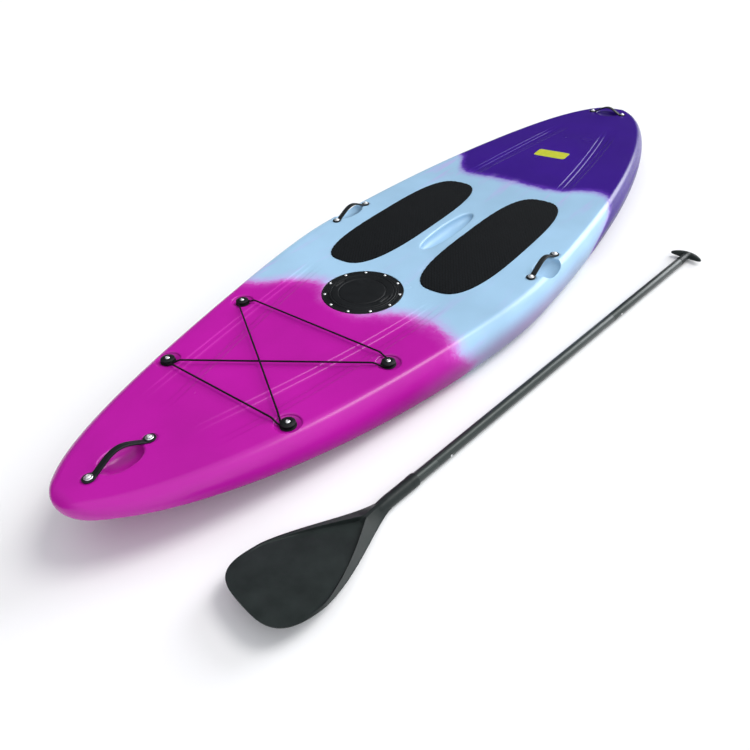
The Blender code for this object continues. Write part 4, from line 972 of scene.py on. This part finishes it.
# Blank patch
# A yellow vinyl patch on the stern deck. It is left blank: bare vinyl, a fifth of a millimetre
# thick, with rounded corners.
patch_matrix = deck_frame(-0.826, -0.006, math.radians(2.0))
patch_steps = ((0.02, 0.00035), (0.5, 0.00035), (0.95, 0.00035), (0.997, 0.00035), (1.0, 0.00028),
               (1.0, 0.00008), (0.5, 0.00008), (0.02, 0.00008))
patch_rings = [level_ring(0.041 * s, 0.071 * s, 9.0, 160, z) for s, z in patch_steps]
vinyl_finish, vinyl_tree, vinyl_shader = plain_material("yellow vinyl", (0.70, 0.72, 0.04), 0.38)
vinyl_place = vinyl_tree.nodes.new("ShaderNodeTexCoord").outputs["Object"]
vinyl_noise = noise(vinyl_tree, vinyl_place, 40.0, 5.0, 0.65)
vinyl_shade = colour_ramp(vinyl_tree, vinyl_noise,
                          ((0.25, (0.44, 0.50, 0.02)), (0.75, (0.62, 0.62, 0.04))))
feed(vinyl_tree, vinyl_shader, Base_Color=vinyl_shade)
emboss(vinyl_tree, vinyl_shader, 0.3, 0.0003, vinyl_noise)
patch = put_shell("blank_patch", placed(patch_rings, patch_matrix), vinyl_finish, 40.0)
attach(patch, "hull")


# Drain plug
# A black nylon screw plug with a grip bar across its sunk head, on a rubber washer, in a flat
# bed at the tail of the hull.
plug_profile = eased([(0.0005, -0.0160), (0.0080, -0.0160), (0.0089, -0.0150), (0.0089, 0.0023),
                      (0.0169, 0.0023), (0.0170, 0.0094), (0.0162, 0.0103), (0.0005, 0.0103)], 0.0008)
drain_plug = turned_shell("drain_plug_moulding", plug_profile, drain_matrix, None, 96)
plug_tools = []
for side in (-1.0, 1.0):
    edge = oval(0.0059, 0.0112, 3.0, 48) + np.array([[side * 0.0089, 0.0]])
    rings = [np.column_stack([edge, np.full(48, z)]) for z in (0.0053, 0.0150)]
    plug_tools.append(put_shell("grip slot", placed(rings, drain_matrix)))
cut_and_apply(drain_plug, plug_tools, nylon_finish)
drain_plug.data.set_sharp_from_angle(angle=math.radians(35.0))
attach(drain_plug, "drain_plug")
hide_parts("drain_plug")
recolour("drain_seal", rubber_finish)


# Paddle blade
# Injection moulded in dark glass-filled nylon: a flat wedge of a face between two sloping
# borders that meet at the throat, where the blade runs into a round socket for the shaft.
paddle_heading = math.radians(171.36)
socket_radius = 0.0168
paddle_matrix = moved(1.5013, 0.4149, socket_radius) @ spun(paddle_heading)


def blade_surface(length, width, bend):
    """Sections from the tip to the throat: face from edge to edge, then back underneath.

    Half the width is (r + (W - r) (1 - t^1.55)^1.4) (1 - (1 - s/0.28)^3)^0.306, with s from 0 at
    the tip to 1 at the throat and t from 0 at s = 0.28 to 1. The face lifts as (1 - s)^2.
    """
    widest, panel_start, panel_end = 0.28, 0.194, 0.831
    share = (0.0008 + 0.9992 * (np.arange(110) / 109.0) ** 1.5)[:, None]
    tip = (1.0 - (1.0 - np.minimum(share / widest, 1.0)) ** 3.0) ** 0.306
    far = np.clip((share - widest) / (1.0 - widest), 0.0, 1.0)
    half = (socket_radius + (0.5 * width - socket_radius) * (1.0 - far ** 1.55) ** 1.4) * tip
    base = length * math.tan(bend) * (1.0 - share) ** 2 - 0.2 * socket_radius
    along = np.clip((share - panel_start) / (panel_end - panel_start), 0.0, 1.0)
    panel = np.maximum(np.minimum(0.5 * width * (1.0 - along ** 1.5), half * 0.93), 0.0010)
    wall = np.minimum(0.0030, 0.3 * (half - panel))
    ridge = 1.2 * socket_radius * np.clip((share - panel_start) / (1.0 - panel_start), 0.0, 1.0) ** 1.3
    closed_up = smooth((along - 0.93) / 0.07)
    into = np.concatenate([np.linspace(0.0, 1.0, 19)[:-1], 1.0 + np.linspace(0.0, 1.0, 8)[:-1],
                           2.0 + np.linspace(0.0, 1.0, 15)])[None, :]
    y = (np.clip(into, 0.0, 1.0) * panel + np.clip(into - 1.0, 0.0, 1.0) * wall
         + np.clip(into - 2.0, 0.0, 1.0) * (half - panel - wall))
    arm = np.clip(into - 2.0, 0.0, 1.0)
    lift_up = ridge * (closed_up + (1.0 - closed_up) * smooth(into - 1.0))
    edge = np.sqrt(np.clip(1.0 - np.clip((arm - 0.90) / 0.10, 0.0, 1.0) ** 2, 0.0, 1.0))
    face = base + lift_up * (1.0 - arm) - 0.0013 * (1.0 - edge)
    spine = np.where(share > 0.55, socket_radius * 2.0 * (share - 0.55) / 0.45, 0.0)
    belly = np.maximum(base - np.maximum(0.006, spine), -socket_radius)
    deep = smooth((half - y) / (0.62 * half))
    back = (base - 0.0026) * (1.0 - deep) + np.minimum(belly, base - 0.0026) * deep
    back = np.where(into >= 2.99, base - 0.0016, back)
    x = length * share + 0.0 * y
    top_side = np.stack([x, y, face], axis=2)
    low_side = np.stack([x, y, back], axis=2)
    flip = np.array([1.0, -1.0, 1.0])
    return np.concatenate([top_side[:, :0:-1] * flip, top_side, low_side[:, ::-1],
                           low_side[:, 1:] * flip], axis=1)


dark_nylon_finish = moulded_black("dark glass-filled nylon", (0.012, 0.017, 0.016), 0.42, 300.0, 0.00014)
blade_sections = blade_surface(0.391, 0.212, math.radians(8.0))
blade = put_shell("paddle_blade_moulding", placed(blade_sections, paddle_matrix))
shaft_turn = np.array([[0.0, 0.0, 1.0, 0.0], [0.0, 1.0, 0.0, 0.0],
                       [-1.0, 0.0, 0.0, 0.0], [0.0, 0.0, 0.0, 1.0]])


def along_shaft(distance):
    """Frame on the shaft whose local z runs towards the grip."""
    return paddle_matrix @ moved(distance) @ shaft_turn


socket_profile = eased([(0.0008, 0.0), (0.0092, 0.0), (0.0151, 0.0200), (0.0168, 0.0450), (0.0168, 0.1200),
                        (0.0174, 0.1260), (0.0174, 0.1410), (0.0162, 0.1450), (0.0008, 0.1450)], 0.004, 4)
socket = turned_shell("socket", socket_profile, along_shaft(0.346), None, 64)
combine(blade, "UNION", socket)
solve_modifiers(blade, dark_nylon_finish)
bpy.data.objects.remove(socket, do_unlink=True)
cut_and_apply(blade, [drill("socket bore", 0.0148, 0.0, 0.12, along_shaft(0.4107), 64)], dark_nylon_finish)
blade.data.shade_smooth()
blade.data.set_sharp_from_angle(angle=math.radians(38.0))
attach(blade, "paddle")
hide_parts("paddle_blade")


# Paddle shaft
# Three sections of dark anodised tube. A spigot inside each joint takes a sprung steel button,
# so the paddle comes apart in three. Lower and upper ends are deburred.
shaft_finish, shaft_tree, shaft_shader = plain_material("dark anodised tube", (0.028, 0.037, 0.035), 0.36,
                                                        Metallic=0.35, Specular_IOR_Level=0.5)
shaft_place = shaft_tree.nodes.new("ShaderNodeTexCoord").outputs["Object"]
shaft_drawn = add_node(shaft_tree, "ShaderNodeMapping", Vector=shaft_place,
                       Rotation=(0.0, 0.0, -paddle_heading), Scale=(6.0, 500.0, 500.0))
shaft_lines = noise(shaft_tree, shaft_drawn.outputs[0], 1.0, 4.0, 0.6)
weathered(shaft_tree, shaft_shader, shaft_lines, (0.024, 0.032, 0.030), (0.034, 0.044, 0.041), 0.28, 0.46)
tube_bore, tube_radius = 0.0127, 0.0145
button_setback = 0.045
button_turn = np.array([[1.0, 0.0, 0.0, 0.0], [0.0, 0.0, -1.0, 0.0],
                        [0.0, 1.0, 0.0, 0.0], [0.0, 0.0, 0.0, 1.0]])
pip_profile = eased([(0.0004, 0.0076), (0.0030, 0.0076), (0.0030, 0.0149), (0.0021, 0.0157),
                     (0.0004, 0.0161)], 0.0008)
shaft_parts = [("lower", 0.411, 0.561, ""), ("middle", 0.561 + seat_gap, 1.411, "lower"),
               ("upper", 1.411 + seat_gap, 1.896, "upper")]
for label, start, end, button_end in shaft_parts:
    tube_profile = eased([(tube_bore, 0.0), (tube_radius, 0.0), (tube_radius, end - start),
                          (tube_bore, end - start), (tube_bore, 0.0)], 0.0006)
    tube = turned_shell("paddle_%s_section" % label, tube_profile, along_shaft(start), shaft_finish, 56, True)
    if button_end:
        button_matrix = paddle_matrix @ moved(start - seat_gap + button_setback) @ button_turn
        cut_and_apply(tube, [drill("button hole", 0.0033, 0.0, 0.03, button_matrix, 32)], shaft_finish)
        tube.data.set_sharp_from_angle(angle=math.radians(35.0))
        pip = turned_shell("paddle_%s_pip" % button_end, pip_profile, button_matrix, steel_finish, 40)
        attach(pip, button_end + "_spring_button")
        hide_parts("paddle_%s_spring_button" % button_end)
    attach(tube, "paddle")
    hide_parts("paddle_%s_tube" % label)
for name in ("paddle_lower_spigot", "paddle_upper_spigot"):
    recolour(name, shaft_finish)


# Paddle grip
# A palm grip moulded in the same nylon as the blade: a plug in the tube, a neck that swells into
# a bar across the top, and a bar that droops towards both ends.
grip_profile = eased([(0.0005, -0.0400), (0.0124, -0.0400), (0.0124, 0.0), (0.0145, 0.0), (0.0146, 0.0080),
                      (0.0142, 0.0300), (0.0128, 0.0560), (0.0150, 0.0720), (0.0005, 0.0722)], 0.003, 4)
grip_neck = turned_shell("grip neck", grip_profile, along_shaft(1.8963), None, 48)
paddle_length = 1.986
bar_half, bar_thickest = 0.0555, 0.0145
bar_y = bar_half * np.sin(np.linspace(-math.pi / 2.0, math.pi / 2.0, 49))[1:-1]
bar_share = np.abs(bar_y) / bar_half
bar_radius = bar_thickest * (1.0 - bar_share ** 3.0) ** 0.5 * (1.0 - 0.18 * bar_share)
bar_middle = paddle_length - bar_thickest - 0.014 * bar_share ** 2.0
bar_turn = round_steps(36)
bar_rings = np.stack([bar_middle[:, None] + bar_radius[:, None] * np.cos(bar_turn)[None, :],
                      np.broadcast_to(bar_y[:, None], (len(bar_y), 36)),
                      0.85 * bar_radius[:, None] * np.sin(bar_turn)[None, :]], axis=2)
grip_bar = put_shell("grip bar", placed(bar_rings, paddle_matrix))
combine(grip_neck, "UNION", grip_bar)
grip_remesh = grip_neck.modifiers.new("even", "REMESH")
grip_remesh.mode = "VOXEL"
grip_remesh.voxel_size = 0.0012
grip_soften = grip_neck.modifiers.new("soften", "SMOOTH")
grip_soften.factor = 0.5
grip_soften.iterations = 10
solve_modifiers(grip_neck, dark_nylon_finish)
grip_neck.name = "paddle_palm_grip"
grip_neck.data.shade_smooth()
bpy.data.objects.remove(grip_bar, do_unlink=True)
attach(grip_neck, "paddle")
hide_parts("paddle_t_grip")
